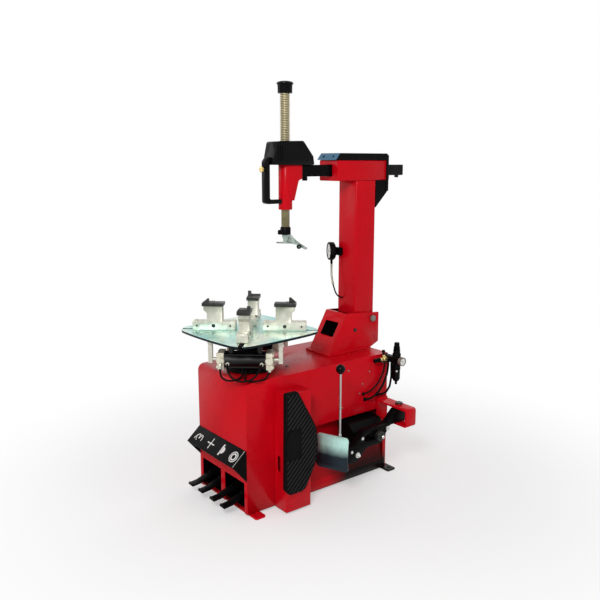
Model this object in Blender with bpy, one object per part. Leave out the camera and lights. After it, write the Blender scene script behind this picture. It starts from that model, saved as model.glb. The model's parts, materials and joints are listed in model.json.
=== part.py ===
# Swing-column tyre changer: cabinet, turntable, tilting column, mounting arm and bead breaker.
# Metres, +Z up. X runs to the operator's right, the pedals face -Y, the floor is Z = 0.
# Sizes below are measured from the turntable axis; the root empty moves the origin to the
# middle of the footprint.
import math

import bmesh
import bpy
from mathutils import Matrix, Vector

for old in list(bpy.data.objects):
    bpy.data.objects.remove(old, do_unlink=True)

# Clearances
GAP = 0.0003
RUN = 0.0005

# Cabinet
CABINET_WIDTH = 0.38
HALF = CABINET_WIDTH / 2
CABINET_FRONT = -0.150
CABINET_REAR = 0.645
CABINET_TOP = 0.575
SHEET = 0.004
NOSE_RADIUS = 0.028
RECESS_FRONT = 0.135
RECESS_REAR = 0.625
RECESS_TOP = 0.313
RECESS_LOW = 0.040
RECESS_DEPTH = 0.040
RECESS_DROP = 0.012
FOOT_THICK = 0.008
FOOT_REACH = 0.045
FOOT_LENGTH = CABINET_WIDTH + 2 * FOOT_REACH
FOOT_WIDTH = 0.050
FOOT_HOLE = 0.007
FOOT_FRONT = -0.138
FOOT_REAR = 0.622

# Bead pad on the right side
PAD_BOX_DEPTH = 0.085
PAD_BOX_OUT = HALF + PAD_BOX_DEPTH
PAD_BOX_FRONT = -0.012
PAD_BOX_REAR = 0.118
PAD_BOX_TOP = CABINET_TOP - 0.053
PAD_THICK = 0.022
PAD_FRONT = -0.030
PAD_BOW = 0.142
PAD_LOW = 0.095
PAD_HIGH = CABINET_TOP - 0.040
PAD_RIBS = 24
PAD_RIB_DEPTH = 0.003
PAD_RIB_SLANT = math.radians(45)
SLOT_LOW = 0.175
SLOT_HIGH = 0.245
SLOT_WIDTH = 0.020

# Pedals
POST_WIDTH = 0.030
PEDAL_INNER = POST_WIDTH / 2 + 0.033
PEDAL_OUTER = HALF - 0.060
PEDAL_PLACES = (-PEDAL_OUTER, -PEDAL_INNER, PEDAL_INNER, PEDAL_OUTER)
PEDAL_AXLE_Y = 0.060
PEDAL_AXLE_Z = 0.090
PEDAL_AXLE_RADIUS = 0.008
PEDAL_TIP = -0.238
PEDAL_WIDTH = 0.036
PEDAL_THICK = 0.006
HOOD_TOP = 0.290
HOOD_OUT = 0.065
HOOD_EDGE = 0.232
HOOD_LOW = 0.155
WINDOW_MARGIN = 0.022
WINDOW_DROP = 0.012

# Turntable
TABLE_ANGLE = math.radians(49)
TABLE_TOP = CABINET_TOP + 0.170
TABLE_THICK = 0.012
TABLE_TIP = 0.300
TABLE_FLAT = 0.232
TIP_RADIUS = 0.050
FLANK_RADIUS = 0.30
HUB_RADIUS = 0.034
HUB_SIDES = 28
SWIVEL_RADIUS = HUB_RADIUS + 0.021
JAW_REST = 0.150
JAW_SLOT = 0.020
JAW_SLOT_IN = 0.075
RAIL_LENGTH = 0.185
RAIL_WIDTH = 0.046
RAIL_HEIGHT = 0.036
JAW_WIDTH = 0.044
JAW_TOP = TABLE_TOP + 0.103
JAW_CAP = 0.013
KEEPER_THICK = 0.012
KEEPER_LUG_IN = 0.135
KEEPER_LUG_OUT = 0.156
CYLINDER_OFFSET = 0.138
CYLINDER_Z = TABLE_TOP - 0.095
CYLINDER_RADIUS = 0.030
CYLINDER_CAP = 0.070
CAP_THICK = 0.026
CAP_CENTRE = 0.100
CLAMP_ROD = 0.008
CLAMP_ROD_START = 0.020

# Column and its bracket
COLUMN_WIDTH = 0.122
COLUMN_FRONT = 0.550
COLUMN_REAR = 0.672
COLUMN_FOOT = CABINET_TOP + 0.025
COLUMN_WALL = 0.005
PIVOT_Y = 0.652
PIVOT_Z = CABINET_TOP + 0.143
PIVOT_RADIUS = 0.010
BRACKET_PLATE = 0.010
BRACKET_PLAY = 0.003
BRACKET_TOP = CABINET_TOP + 0.182
BRACKET_WINDOW = 0.045
GAUGE_Z = 1.035
GAUGE_RADIUS = 0.0425
GAUGE_TURN = math.radians(27)
GAUGE_HOSE_END = 0.815

# Arm head on the column
BOX_FRONT = 0.435
BOX_REAR = 0.735
BOX_WIDTH = COLUMN_WIDTH + 0.002
BAR_Z = 1.411
BAR_SIZE = 0.050
BOX_HEIGHT = 0.092
BAR_FRONT = 0.2626
BAR_REAR = 0.885
STOP_FRONT = 0.300
STOP_REAR = 0.800
STOP_RADIUS = 0.012
STOP_HEIGHT = 0.018

# Vertical shaft
SHAFT_Y = 0.194
SHAFT_FLATS = 0.032
SHAFT_CORNER = SHAFT_FLATS / math.sqrt(3)
SHAFT_LOW = BAR_Z - 0.239
SHAFT_HIGH = BAR_Z + 0.319
CASTING_WALL = 0.0115
CASTING_RADIUS = SHAFT_CORNER + CASTING_WALL
CASTING_LOW = BAR_Z - 0.164
SPIGOT_RADIUS = CASTING_RADIUS - 0.004
SPRING_SEAT = BAR_Z + BAR_SIZE / 2 + 0.009
SPRING_CURLS = 28
SPRING_WIRE = 0.0035
SPRING_PLAY = 0.0005
SPRING_POINTS = 9
SPRING_RADIUS = (SHAFT_CORNER + SPRING_PLAY + SPRING_WIRE / 2) / math.cos(math.pi / SPRING_POINTS)
CAP_RADIUS = CASTING_RADIUS + 0.006
CAP_HEIGHT = 0.050
HEAD_ANGLE = math.radians(40)
ROLLER_STUD = 0.004
COVER_HALF = CASTING_RADIUS + 0.010
HANDLE_LOW = BAR_Z - 0.137
HANDLE_FRONT = 0.081
HANDLE_THICK = 0.022
HANDLE_WIDTH = 0.029
BUTTON_Z = BAR_Z + 0.007
BUTTON_STEM = 0.0055
BUTTON_TRAVEL = 0.005

# Bead breaker
BEAD_PIN_X = HALF + 0.110
BEAD_PIN_Y = 0.615
BEAD_PIN_RADIUS = 0.011
BEAD_ARM_THICK = 0.036
C_BRACKET_OUT = HALF + 0.188
C_BRACKET_FRONT = 0.585
C_BRACKET_TOP = 0.356
C_BRACKET_LOW = 0.270
C_PLATE = 0.010
BEAD_ROD_Y = 0.470
BEAD_ROD_Z = 0.250
BEAD_ROD_RADIUS = 0.0125
BEAD_CYLINDER_RADIUS = 0.085
BLADE_INNER = (HALF + 0.030, 0.195)
BLADE_OUTER = (HALF + 0.173, 0.253)
BLADE_TOP = 0.300
BLADE_LOW = 0.145
BLADE_THICK = 0.006
BLADE_BOW = 0.010
SWIVEL_X = BEAD_PIN_X
SWIVEL_Y = 0.268
SWIVEL_PIN = 0.007
EYE_LOW = 0.172
EYE_HIGH = 0.216
KNOB_RADIUS = 0.020
KNOB_Z = 0.600

# Air preparation unit
UNIT_X = HALF + 0.065
UNIT_Y = 0.638
UNIT_TOP = CABINET_TOP + 0.030
UNIT_LOW = CABINET_TOP - 0.044
UNIT_MIDDLE = UNIT_LOW + 0.026
UNIT_RADIUS = 0.0195
HOSE_RADIUS = 0.005

# Overall limits of the machine, which set the middle of its footprint
LEFT_LIMIT = -FOOT_LENGTH / 2
RIGHT_LIMIT = C_BRACKET_OUT
FRONT_LIMIT = PEDAL_TIP
REAR_LIMIT = BAR_REAR

ROOT = bpy.data.objects.new("machine_origin", None)
ROOT.location = (-(LEFT_LIMIT + RIGHT_LIMIT) / 2, -(FRONT_LIMIT + REAR_LIMIT) / 2, 0)
bpy.context.collection.objects.link(ROOT)


# Materials
def material(name, colour, roughness, metallic=0.0):
    made = bpy.data.materials.new(name)
    made.use_nodes = True
    shader = made.node_tree.nodes["Principled BSDF"]
    shader.inputs["Base Color"].default_value = (*colour, 1)
    shader.inputs["Roughness"].default_value = roughness
    shader.inputs["Metallic"].default_value = metallic
    return made


RED = material("red_paint", (0.56, 0.006, 0.012), 0.32)
BLACK = material("black_plastic", (0.012, 0.012, 0.013), 0.45)
BLACK_STEEL = material("black_steel", (0.015, 0.015, 0.016), 0.4, 0.3)
RUBBER = material("black_rubber", (0.01, 0.01, 0.01), 0.8)
STEEL = material("polished_steel", (0.55, 0.62, 0.6), 0.2, 1.0)
ZINC = material("zinc_plate", (0.72, 0.7, 0.6), 0.35, 0.8)
DARK_STEEL = material("dark_steel", (0.05, 0.055, 0.05), 0.45, 0.7)
CHROME = material("chrome", (0.8, 0.8, 0.8), 0.08, 1.0)
BRASS = material("brass", (0.65, 0.45, 0.15), 0.3, 1.0)
GREY = material("grey_cast", (0.2, 0.2, 0.2), 0.6, 0.4)
DIAL = material("dial", (0.75, 0.75, 0.72), 0.4)


# Shape tools
def finished(bm):
    bmesh.ops.recalc_face_normals(bm, faces=bm.faces)
    mesh = bpy.data.meshes.new("form")
    bm.to_mesh(mesh)
    bm.free()
    return mesh


def fillet(corners, radius, steps=4):
    """Outline of the corners, each rounded by an arc; radius is one value or one for each corner."""
    outline = []
    for i, corner in enumerate(corners):
        here = Vector(corner)
        back = (Vector(corners[i - 1]) - here).normalized()
        ahead = (Vector(corners[(i + 1) % len(corners)]) - here).normalized()
        r = radius[i] if isinstance(radius, (list, tuple)) else radius
        if r <= 0:
            outline.append(tuple(here))
            continue
        half = back.angle(ahead) / 2
        centre = here + (back + ahead).normalized() * (r / math.sin(half))
        start = here + back * (r / math.tan(half)) - centre
        end = here + ahead * (r / math.tan(half)) - centre
        sweep = math.copysign(math.pi - 2 * half, start.x * end.y - start.y * end.x)
        for k in range(steps + 1):
            turned_by = Matrix.Rotation(sweep * k / steps, 2)
            outline.append(tuple(centre + turned_by @ start))
    return outline


def prism(outline, axis, low, high):
    """The outline pushed along an axis: (y, z) along X, (x, z) along Y, (x, y) along Z."""
    place = {
        "X": lambda a, b, c: (c, a, b),
        "Y": lambda a, b, c: (a, c, b),
        "Z": lambda a, b, c: (a, b, c),
    }[axis]
    bm = bmesh.new()
    lower, upper = [[bm.verts.new(place(a, b, c)) for a, b in outline] for c in (low, high)]
    bm.faces.new(lower)
    bm.faces.new(upper)
    for i in range(len(outline)):
        bm.faces.new((lower[i - 1], lower[i], upper[i], upper[i - 1]))
    return finished(bm)


def block(low, high, edge=0.0, axis="Z"):
    """A box between two corners, with the edges along one axis rounded."""
    spans = {"X": (1, 2), "Y": (0, 2), "Z": (0, 1)}[axis]
    a, b = spans
    corners = [(low[a], low[b]), (high[a], low[b]), (high[a], high[b]), (low[a], high[b])]
    along = "XYZ".index(axis)
    return prism(fillet(corners, edge), axis, low[along], high[along])


def turned(profile, at=(0, 0, 0), along=(0, 0, 1), sides=20, ring=False):
    """A profile of (radius, height) turned about an axis; a ring's profile closes on itself."""
    bm = bmesh.new()
    loops = []
    for radius, height in profile:
        count = sides if radius else 1
        steps = [2 * math.pi * k / sides for k in range(count)]
        loops.append([bm.verts.new((radius * math.cos(t), radius * math.sin(t), height)) for t in steps])
    pairs = list(zip(loops, loops[1:]))
    if ring:
        pairs.append((loops[-1], loops[0]))
    else:
        for loop in (loops[0], loops[-1]):
            if len(loop) > 1:
                bm.faces.new(loop)
    for lower, upper in pairs:
        for i in range(sides):
            if len(lower) == 1:
                bm.faces.new((lower[0], upper[i], upper[i - 1]))
            elif len(upper) == 1:
                bm.faces.new((lower[i - 1], lower[i], upper[0]))
            else:
                bm.faces.new((lower[i - 1], lower[i], upper[i], upper[i - 1]))
    mesh = finished(bm)
    turn = Vector((0, 0, 1)).rotation_difference(Vector(along)).to_matrix().to_4x4()
    mesh.transform(Matrix.Translation(at) @ turn)
    return mesh


def rod(start, end, radius, sides=16):
    span = Vector(end) - Vector(start)
    return turned([(radius, 0), (radius, span.length)], start, span.normalized(), sides)


def bolt(at, along, radius, height):
    """A domed bolt head that stands on a face."""
    profile = [(radius, -height), (radius, height * 0.6), (radius * 0.6, height), (0, height)]
    return turned(profile, at, along, 8)


def together(*meshes):
    """Separate meshes as one, for a cut that has several places."""
    bm = bmesh.new()
    for mesh in meshes:
        bm.from_mesh(mesh)
    return finished(bm)


def on_table(mesh, quarter=0):
    """Turns a form drawn along +X into the table's own direction, by quarter turns."""
    mesh.transform(Matrix.Rotation(TABLE_ANGLE + quarter * math.pi / 2, 4, "Z"))
    return mesh


# Pieces
def hang(thing, pivot):
    thing.parent = ROOT
    thing.location = pivot
    bpy.context.collection.objects.link(thing)


def piece(name, finish, solids, cuts=(), meets=(), pivot=(0, 0, 0)):
    """One named piece: the solids joined, cut and trimmed, with its origin at the pivot."""
    body = solids[0]
    body.transform(Matrix.Translation(-Vector(pivot)))
    body.materials.append(finish)
    body.shade_smooth()
    body.set_sharp_from_angle(angle=math.radians(32))
    made = bpy.data.objects.new(name, body)
    hang(made, pivot)
    steps = [("UNION", s) for s in solids[1:]]
    steps += [("DIFFERENCE", c) for c in cuts]
    steps += [("INTERSECT", m) for m in meets]
    for operation, mesh in steps:
        mesh.materials.append(finish)
        helper = bpy.data.objects.new(name + "_tool", mesh)
        hang(helper, (0, 0, 0))
        combine(made, helper, operation)
    return made


def combine(made, helper, operation):
    """Joins, cuts or trims a piece with a hidden body."""
    helper.hide_render = True
    helper.display_type = "WIRE"
    change = made.modifiers.new(operation.lower(), "BOOLEAN")
    change.operation = operation
    change.solver = "EXACT"
    change.object = helper


def tube(name, finish, points, radius, resolution=2):
    """A round tube through the points, with closed ends."""
    curve = bpy.data.curves.new(name, "CURVE")
    curve.dimensions = "3D"
    curve.bevel_depth = radius
    curve.bevel_resolution = resolution
    curve.use_fill_caps = True
    line = curve.splines.new("POLY")
    line.points.add(len(points) - 1)
    for point, place in zip(line.points, points):
        point.co = (*place, 1)
    curve.materials.append(finish)
    made = bpy.data.objects.new(name, curve)
    hang(made, (0, 0, 0))
    return made


def smooth_route(route, step):
    """Points about one step apart on a smooth curve through the route, straight at both ends."""
    knots = [Vector(p) for p in route]
    first, last = knots[0].lerp(knots[1], 0.35), knots[-1].lerp(knots[-2], 0.35)
    knots = [knots[0] * 2 - first, knots[0], first, *knots[1:-1], last, knots[-1], knots[-1] * 2 - last]
    points = []
    for a, b, c, d in zip(knots, knots[1:], knots[2:], knots[3:]):
        count = max(1, round((c - b).length / step))
        for k in range(count):
            t = k / count
            bend = (2 * a - 5 * b + 4 * c - d) * t**2 + (3 * b - a - 3 * c + d) * t**3
            points.append(0.5 * (2 * b + (c - a) * t + bend))
    points.append(knots[-2])
    return points


# Cabinet
CABINET_LOW = FOOT_THICK + GAP


def recess_face(z):
    """X of the sloping panel in the right side's recess at a height."""
    share = (RECESS_TOP - RECESS_DROP - z) / (RECESS_TOP - RECESS_DROP - RECESS_LOW)
    return HALF - RECESS_DEPTH * (1 - share)


def cabinet_body(inset, low):
    front, rear, top = CABINET_FRONT + inset, CABINET_REAR - inset, CABINET_TOP - inset
    side = [(front, low), (rear, low), (rear, top), (front, top)]
    outline = fillet(side, [0, 0, 0, NOSE_RADIUS - inset], 6)
    return prism(outline, "X", -HALF + inset, HALF - inset)


def cabinet_recess(inset):
    corners = [
        (HALF + SHEET, RECESS_TOP + inset),
        (HALF, RECESS_TOP + inset),
        (HALF - RECESS_DEPTH - inset, RECESS_TOP - RECESS_DROP + inset / 2),
        (HALF - inset, RECESS_LOW - inset),
        (HALF + SHEET, RECESS_LOW - inset),
    ]
    return prism(corners, "Y", RECESS_FRONT - inset, RECESS_REAR + inset)


def cabinet():
    window_high = HOOD_LOW - WINDOW_DROP
    spans = [(-HALF + WINDOW_MARGIN, -POST_WIDTH / 2), (POST_WIDTH / 2, HALF - WINDOW_MARGIN)]
    windows = [
        block((x0, CABINET_FRONT - SHEET, -SHEET), (x1, CABINET_FRONT + 2 * SHEET, window_high))
        for x0, x1 in spans
    ]
    shaft_hole = rod((0, 0, CABINET_TOP - 3 * SHEET), (0, 0, CABINET_TOP + SHEET), HUB_RADIUS + 0.006)
    rod_hole = rod(
        (HALF - RECESS_DEPTH - 0.02, BEAD_ROD_Y, BEAD_ROD_Z), (HALF, BEAD_ROD_Y, BEAD_ROD_Z),
        BEAD_ROD_RADIUS + 0.004)
    inside = piece("cabinet_inside", RED, [cabinet_body(SHEET, 0)], [cabinet_recess(SHEET)])
    shell = piece(
        "cabinet_shell", RED, [cabinet_body(0, CABINET_LOW)],
        [cabinet_recess(0), together(*windows, shaft_hole)])
    combine(shell, inside, "DIFFERENCE")
    combine(shell, piece("rod_hole", RED, [rod_hole]), "DIFFERENCE")


def side_panel():
    low = (-HALF - GAP - 0.003, -0.090, 0.070)
    high = (-HALF - GAP, 0.590, 0.520)
    piece("side_panel", RED, [block(low, high, 0.014, "X")])


def foot_rails():
    half = FOOT_LENGTH / 2
    for name, y in (("front_foot_rail", FOOT_FRONT), ("rear_foot_rail", FOOT_REAR)):
        bar = block((-half, y, 0), (half, y + FOOT_WIDTH, FOOT_THICK), 0.008)
        middle = y + FOOT_WIDTH / 2
        reach = half - (half - HALF) / 2
        holes = [rod((x, middle, -0.01), (x, middle, 0.02), FOOT_HOLE, 12) for x in (-reach, reach)]
        piece(name, RED, [bar], [together(*holes)])


def bead_pad_box():
    inside = HALF + GAP
    shell = block(
        (inside, PAD_BOX_FRONT, CABINET_LOW), (PAD_BOX_OUT, PAD_BOX_REAR, PAD_BOX_TOP), 0.004)
    hollow = block(
        (inside - 0.01, PAD_BOX_FRONT + SHEET, CABINET_LOW - 0.01),
        (PAD_BOX_OUT - SHEET, PAD_BOX_REAR - SHEET, PAD_BOX_TOP - SHEET))
    middle = (inside + PAD_BOX_OUT) / 2 - 0.010
    slot = block(
        (middle - SLOT_WIDTH / 2, PAD_BOX_FRONT - 0.01, SLOT_LOW),
        (middle + SLOT_WIDTH / 2, PAD_BOX_FRONT + 2 * SHEET, SLOT_HIGH), SLOT_WIDTH / 2 - GAP, "Y")
    piece("pad_box", RED, [shell], [hollow, slot])


def bead_pad():
    """Rubber pad with a bowed rear edge and slanting ribs."""
    middle = (PAD_LOW + PAD_HIGH) / 2 - 0.035
    corners = [
        (PAD_FRONT, PAD_LOW + 0.025), (PAD_FRONT + 0.022, PAD_LOW), (0.072, PAD_LOW),
        (PAD_BOW - 0.012, middle - 0.075), (PAD_BOW, middle), (PAD_BOW - 0.012, middle + 0.085),
        (0.082, PAD_HIGH - 0.085), (0.034, PAD_HIGH), (PAD_FRONT + 0.004, PAD_HIGH),
    ]
    radii = [0.01, 0.01, 0.02, 0.08, 0.1, 0.08, 0.06, 0.012, 0.006]
    inner, outer = PAD_BOX_OUT + GAP, PAD_BOX_OUT + PAD_THICK
    body = prism(fillet(corners, radii, 3), "X", inner, outer)
    ribs = []
    pitch = (PAD_HIGH - PAD_LOW) / PAD_RIBS
    groove = pitch * 0.2
    for k in range(-4, PAD_RIBS + 4):
        cut = block((outer - PAD_RIB_DEPTH, -0.2, -groove), (outer + PAD_RIB_DEPTH, 0.2, groove))
        lift = Matrix.Translation((0, (PAD_FRONT + PAD_BOW) / 2, PAD_LOW + (k + 0.5) * pitch))
        cut.transform(lift @ Matrix.Rotation(PAD_RIB_SLANT, 4, "X"))
        ribs.append(cut)
    piece("bead_pad", RUBBER, [body], [together(*ribs)])


def pedal_hood():
    front = CABINET_FRONT - GAP
    outer = [(front, HOOD_TOP), (front - HOOD_OUT, HOOD_EDGE), (front, HOOD_LOW)]
    inner = [(front + 0.01, HOOD_TOP - 0.012), (front, HOOD_TOP - SHEET),
             (front - HOOD_OUT + SHEET, HOOD_EDGE - SHEET / 2), (front - HOOD_OUT, HOOD_EDGE - 0.012),
             (front - HOOD_OUT, HOOD_LOW - 0.02), (front + 0.01, HOOD_LOW - 0.02)]
    shell = prism(outer, "X", -HALF, HALF)
    hollow = prism(inner, "X", -HALF + SHEET, HALF - SHEET)
    piece("pedal_hood", BLACK, [shell], [hollow])


# Pedals
def pedals():
    reach = HALF - SHEET - GAP
    axle = rod((-reach, PEDAL_AXLE_Y, PEDAL_AXLE_Z), (reach, PEDAL_AXLE_Y, PEDAL_AXLE_Z), PEDAL_AXLE_RADIUS)
    piece("pedal_axle", DARK_STEEL, [axle])
    pivot_y, pivot_z = PEDAL_AXLE_Y, PEDAL_AXLE_Z
    bend = CABINET_FRONT + 0.040
    lever = fillet([
        (pivot_y + 0.016, pivot_z - 0.016), (pivot_y + 0.016, pivot_z + 0.016),
        (bend, pivot_z + 0.010), (bend - 0.030, pivot_z), (bend - 0.030, pivot_z - 0.022),
        (bend, pivot_z - 0.014)], [0.012, 0.012, 0.01, 0, 0, 0.01], 2)
    tread = fillet([
        (bend - 0.014, pivot_z - 0.006), (PEDAL_TIP + 0.040, 0.058), (PEDAL_TIP, 0.054),
        (PEDAL_TIP, 0.046), (PEDAL_TIP + 0.042, 0.050), (bend - 0.014, pivot_z - 0.016)],
        [0, 0.02, 0.003, 0.003, 0.02, 0], 3)
    for k, x in enumerate(PEDAL_PLACES):
        arm = prism(lever, "X", x - PEDAL_THICK / 2, x + PEDAL_THICK / 2)
        pad = prism(tread, "X", x - PEDAL_WIDTH / 2, x + PEDAL_WIDTH / 2)
        lip = block(
            (x - PEDAL_WIDTH / 2 + 0.004, PEDAL_TIP + 0.001, 0.050),
            (x + PEDAL_WIDTH / 2 - 0.004, PEDAL_TIP + 0.006, 0.060))
        hub = rod((x - 0.012, pivot_y, pivot_z), (x + 0.012, pivot_y, pivot_z), 0.015)
        bore = rod((x - 0.03, pivot_y, pivot_z), (x + 0.03, pivot_y, pivot_z), PEDAL_AXLE_RADIUS + RUN)
        piece(f"pedal_{k + 1}", BLACK_STEEL, [arm, pad, lip, hub], [bore], pivot=(x, pivot_y, pivot_z))


# Turntable
PLATE_LOW = TABLE_TOP - TABLE_THICK


def table_pedestal():
    ring = [
        (HUB_RADIUS + RUN, CABINET_TOP + GAP), (0.105, CABINET_TOP + GAP), (0.105, CABINET_TOP + 0.012),
        (0.075, CABINET_TOP + 0.020), (0.062, CABINET_TOP + 0.040), (HUB_RADIUS + RUN, CABINET_TOP + 0.040),
    ]
    piece("table_pedestal", GREY, [turned(ring, sides=HUB_SIDES, ring=True)])


def gear_motor():
    """Worm gearbox under the cabinet top with its flanged motor."""
    top = CABINET_TOP - SHEET - GAP
    case = block((-0.085, -0.085, top - 0.125), (0.085, 0.090, top), 0.012)
    motor_profile = [
        (0.070, 0.0), (0.070, 0.014), (0.060, 0.016), (0.060, 0.170), (0.054, 0.175), (0.054, 0.205),
        (0.046, 0.212)]
    motor = turned(motor_profile, (0, 0.085, top - 0.070), (0, 1, 0), 20)
    bore = rod((0, 0, top - 0.2), (0, 0, top + 0.1), HUB_RADIUS + RUN, HUB_SIDES)
    piece("gear_motor", GREY, [case, motor], [bore])


def table_plate():
    corner = TABLE_TIP + TIP_RADIUS * (math.sqrt(2) - 1) * 0.9
    flat = TABLE_FLAT / math.sqrt(2)
    corners, radii = [], []
    for k in range(4):
        c, s = round(math.cos(k * math.pi / 2)), round(math.sin(k * math.pi / 2))
        corners += [(c * corner, s * corner), (flat * (c - s), flat * (s + c))]
        radii += [TIP_RADIUS, FLANK_RADIUS]
    plate = prism(fillet(corners, radii, 6), "Z", PLATE_LOW, TABLE_TOP)
    slots = []
    for quarter in range(4):
        slot = block(
            (JAW_SLOT_IN, -JAW_SLOT / 2, PLATE_LOW - 0.01),
            (2 * TABLE_TIP, JAW_SLOT / 2, TABLE_TOP + 0.01), 0.008)
        slot.transform(Matrix.Rotation(quarter * math.pi / 2, 4, "Z"))
        slots.append(slot)
    piece("table_plate", STEEL, [on_table(plate)], [on_table(together(*slots))])


def table_hub():
    shaft_low = CABINET_TOP - SHEET - GAP - 0.120
    profile = [
        (0, shaft_low), (HUB_RADIUS, shaft_low), (HUB_RADIUS, CABINET_TOP + 0.046),
        (SWIVEL_RADIUS, CABINET_TOP + 0.048), (SWIVEL_RADIUS, CABINET_TOP + 0.092),
        (HUB_RADIUS + 0.006, CABINET_TOP + 0.094), (HUB_RADIUS + 0.006, PLATE_LOW - 0.012),
        (0.066, PLATE_LOW - 0.012), (0.066, PLATE_LOW - GAP), (0, PLATE_LOW - GAP),
    ]
    piece("table_hub", GREY, [turned(profile, sides=HUB_SIDES)])


def jaw(k):
    """One jaw: the rail and post on the plate, its neck through the slot and its serrated cap."""
    start = JAW_REST - RAIL_LENGTH / 2
    rail_top = TABLE_TOP + GAP + RAIL_HEIGHT
    rail = block(
        (start, -RAIL_WIDTH / 2, TABLE_TOP + GAP),
        (start + RAIL_LENGTH, RAIL_WIDTH / 2, rail_top), 0.004, "Y")
    half = JAW_WIDTH / 2
    post_outline = [
        (JAW_REST - 0.036, rail_top - 0.004), (JAW_REST + 0.030, rail_top - 0.004),
        (JAW_REST + 0.030, JAW_TOP - 0.030), (JAW_REST + 0.044, JAW_TOP - 0.016),
        (JAW_REST + 0.044, JAW_TOP), (JAW_REST - 0.036, JAW_TOP),
    ]
    post = prism(post_outline, "Y", -half, half)
    neck_half = JAW_SLOT / 2 - RUN
    neck = block(
        (JAW_REST - 0.025, -neck_half, PLATE_LOW - GAP),
        (JAW_REST + 0.025, neck_half, TABLE_TOP + 0.01), 0.006)
    solids = [rail, post, neck]
    piece(f"jaw_slide_{k + 1}", ZINC, [on_table(s, k) for s in solids], pivot=on_axis(k))
    low, high = JAW_TOP + GAP, JAW_TOP + GAP + JAW_CAP
    cap_outline = [(JAW_REST - 0.042, low), (JAW_REST + 0.050, low), (JAW_REST + 0.050, high)]
    teeth = 6
    for t in range(teeth):
        x = JAW_REST + 0.044 - t * 0.008
        cap_outline += [(x, high + 0.0025), (x - 0.004, high)]
    cap_outline += [(JAW_REST - 0.042, high)]
    cap = prism(cap_outline, "Y", -0.027, 0.027)
    fin_outline = [
        (JAW_REST + 0.018, high - 0.002), (JAW_REST + 0.050, high - 0.002),
        (JAW_REST + 0.026, high + 0.020), (JAW_REST + 0.019, high + 0.020)]
    fin = prism(fin_outline, "Y", 0.013, 0.0268)
    piece(f"jaw_cap_{k + 1}", DARK_STEEL, [on_table(s, k) for s in (cap, fin)], pivot=on_axis(k))


def on_axis(k):
    angle = TABLE_ANGLE + k * math.pi / 2
    return (JAW_REST * math.cos(angle), JAW_REST * math.sin(angle), TABLE_TOP)


def jaw_keeper(k):
    """Plate under the table that ties one jaw to the rods of both clamp cylinders."""
    high = PLATE_LOW - GAP * 2
    low = high - KEEPER_THICK
    reach, tip_in, tip_out = CYLINDER_OFFSET, KEEPER_LUG_IN, KEEPER_LUG_OUT
    half = JAW_WIDTH / 2 + 0.004
    inner, outer = JAW_REST - 0.064, JAW_REST + 0.034
    outline = [
        (outer, -half), (tip_out, -reach - 0.014), (tip_in, -reach - 0.014), (inner, -half), (inner, half),
        (tip_in, reach + 0.014), (tip_out, reach + 0.014), (outer, half),
    ]
    plate = prism(outline, "Z", low, high)
    parts = [plate]
    for side in (-1, 1):
        y = side * reach
        parts.append(block(
            (tip_in + 0.002, y - 0.012, CYLINDER_Z - 0.014), (tip_out - 0.002, y + 0.012, low + 0.004)))
        parts.append(rod((CLAMP_ROD_START, y, CYLINDER_Z), (tip_in + 0.010, y, CYLINDER_Z), CLAMP_ROD, 12))
    piece(f"jaw_keeper_{k + 1}", ZINC, [on_table(p, k) for p in parts], pivot=on_axis(k))


def clamp_cylinder(number, side):
    """Opposed-piston air cylinder under the plate: barrel, square end caps, tie rods and hangers."""
    y = side * CYLINDER_OFFSET
    end = CAP_CENTRE + CAP_THICK / 2
    half = CYLINDER_CAP / 2
    parts = [rod((-end + 0.005, y, CYLINDER_Z), (end - 0.005, y, CYLINDER_Z), CYLINDER_RADIUS)]
    for x in (-CAP_CENTRE, CAP_CENTRE):
        parts.append(block(
            (x - CAP_THICK / 2, y - half, CYLINDER_Z - half),
            (x + CAP_THICK / 2, y + half, CYLINDER_Z + half)))
    for dy in (-1, 1):
        for dz in (-1, 1):
            place = (y + dy * (half - 0.009), CYLINDER_Z + dz * (half - 0.009))
            parts.append(rod((-end - 0.004, *place), (end + 0.004, *place), 0.004, 6))
    for x in (-0.060, 0.060):
        parts.append(block((x - 0.008, y - 0.015, CYLINDER_Z), (x + 0.008, y + 0.015, PLATE_LOW - GAP)))
    bore = rod((-end - 0.02, y, CYLINDER_Z), (end + 0.02, y, CYLINDER_Z), CLAMP_ROD + RUN, 12)
    piece(f"clamp_cylinder_{number}", ZINC, [on_table(p) for p in parts], [on_table(bore)])


def table_hose():
    """Air hose looping below the table from the swivel to the front clamp cylinder."""
    z = CYLINDER_Z - CYLINDER_CAP / 2 - GAP
    y = -CYLINDER_OFFSET
    swivel = SWIVEL_RADIUS + GAP
    route = [
        (0.0, -swivel, CABINET_TOP + 0.070), (0.0, -swivel - 0.016, CABINET_TOP + 0.070),
        (0.022, -swivel - 0.042, CABINET_TOP + 0.040), (0.060, -swivel - 0.066, CABINET_TOP + 0.018),
        (0.096, y + 0.016, CABINET_TOP + 0.012), (CAP_CENTRE, y, z - 0.012), (CAP_CENTRE, y, z),
    ]
    turn = Matrix.Rotation(TABLE_ANGLE, 4, "Z")
    points = [turn @ p for p in smooth_route(route, 0.012)]
    tube("table_hose", RUBBER, points, 0.004)


def turntable():
    table_pedestal()
    gear_motor()
    table_plate()
    table_hub()
    for k in range(4):
        jaw(k)
    for k in (0, 2):
        jaw_keeper(k)
    clamp_cylinder(1, -1)
    clamp_cylinder(2, 1)
    table_hose()


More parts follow.
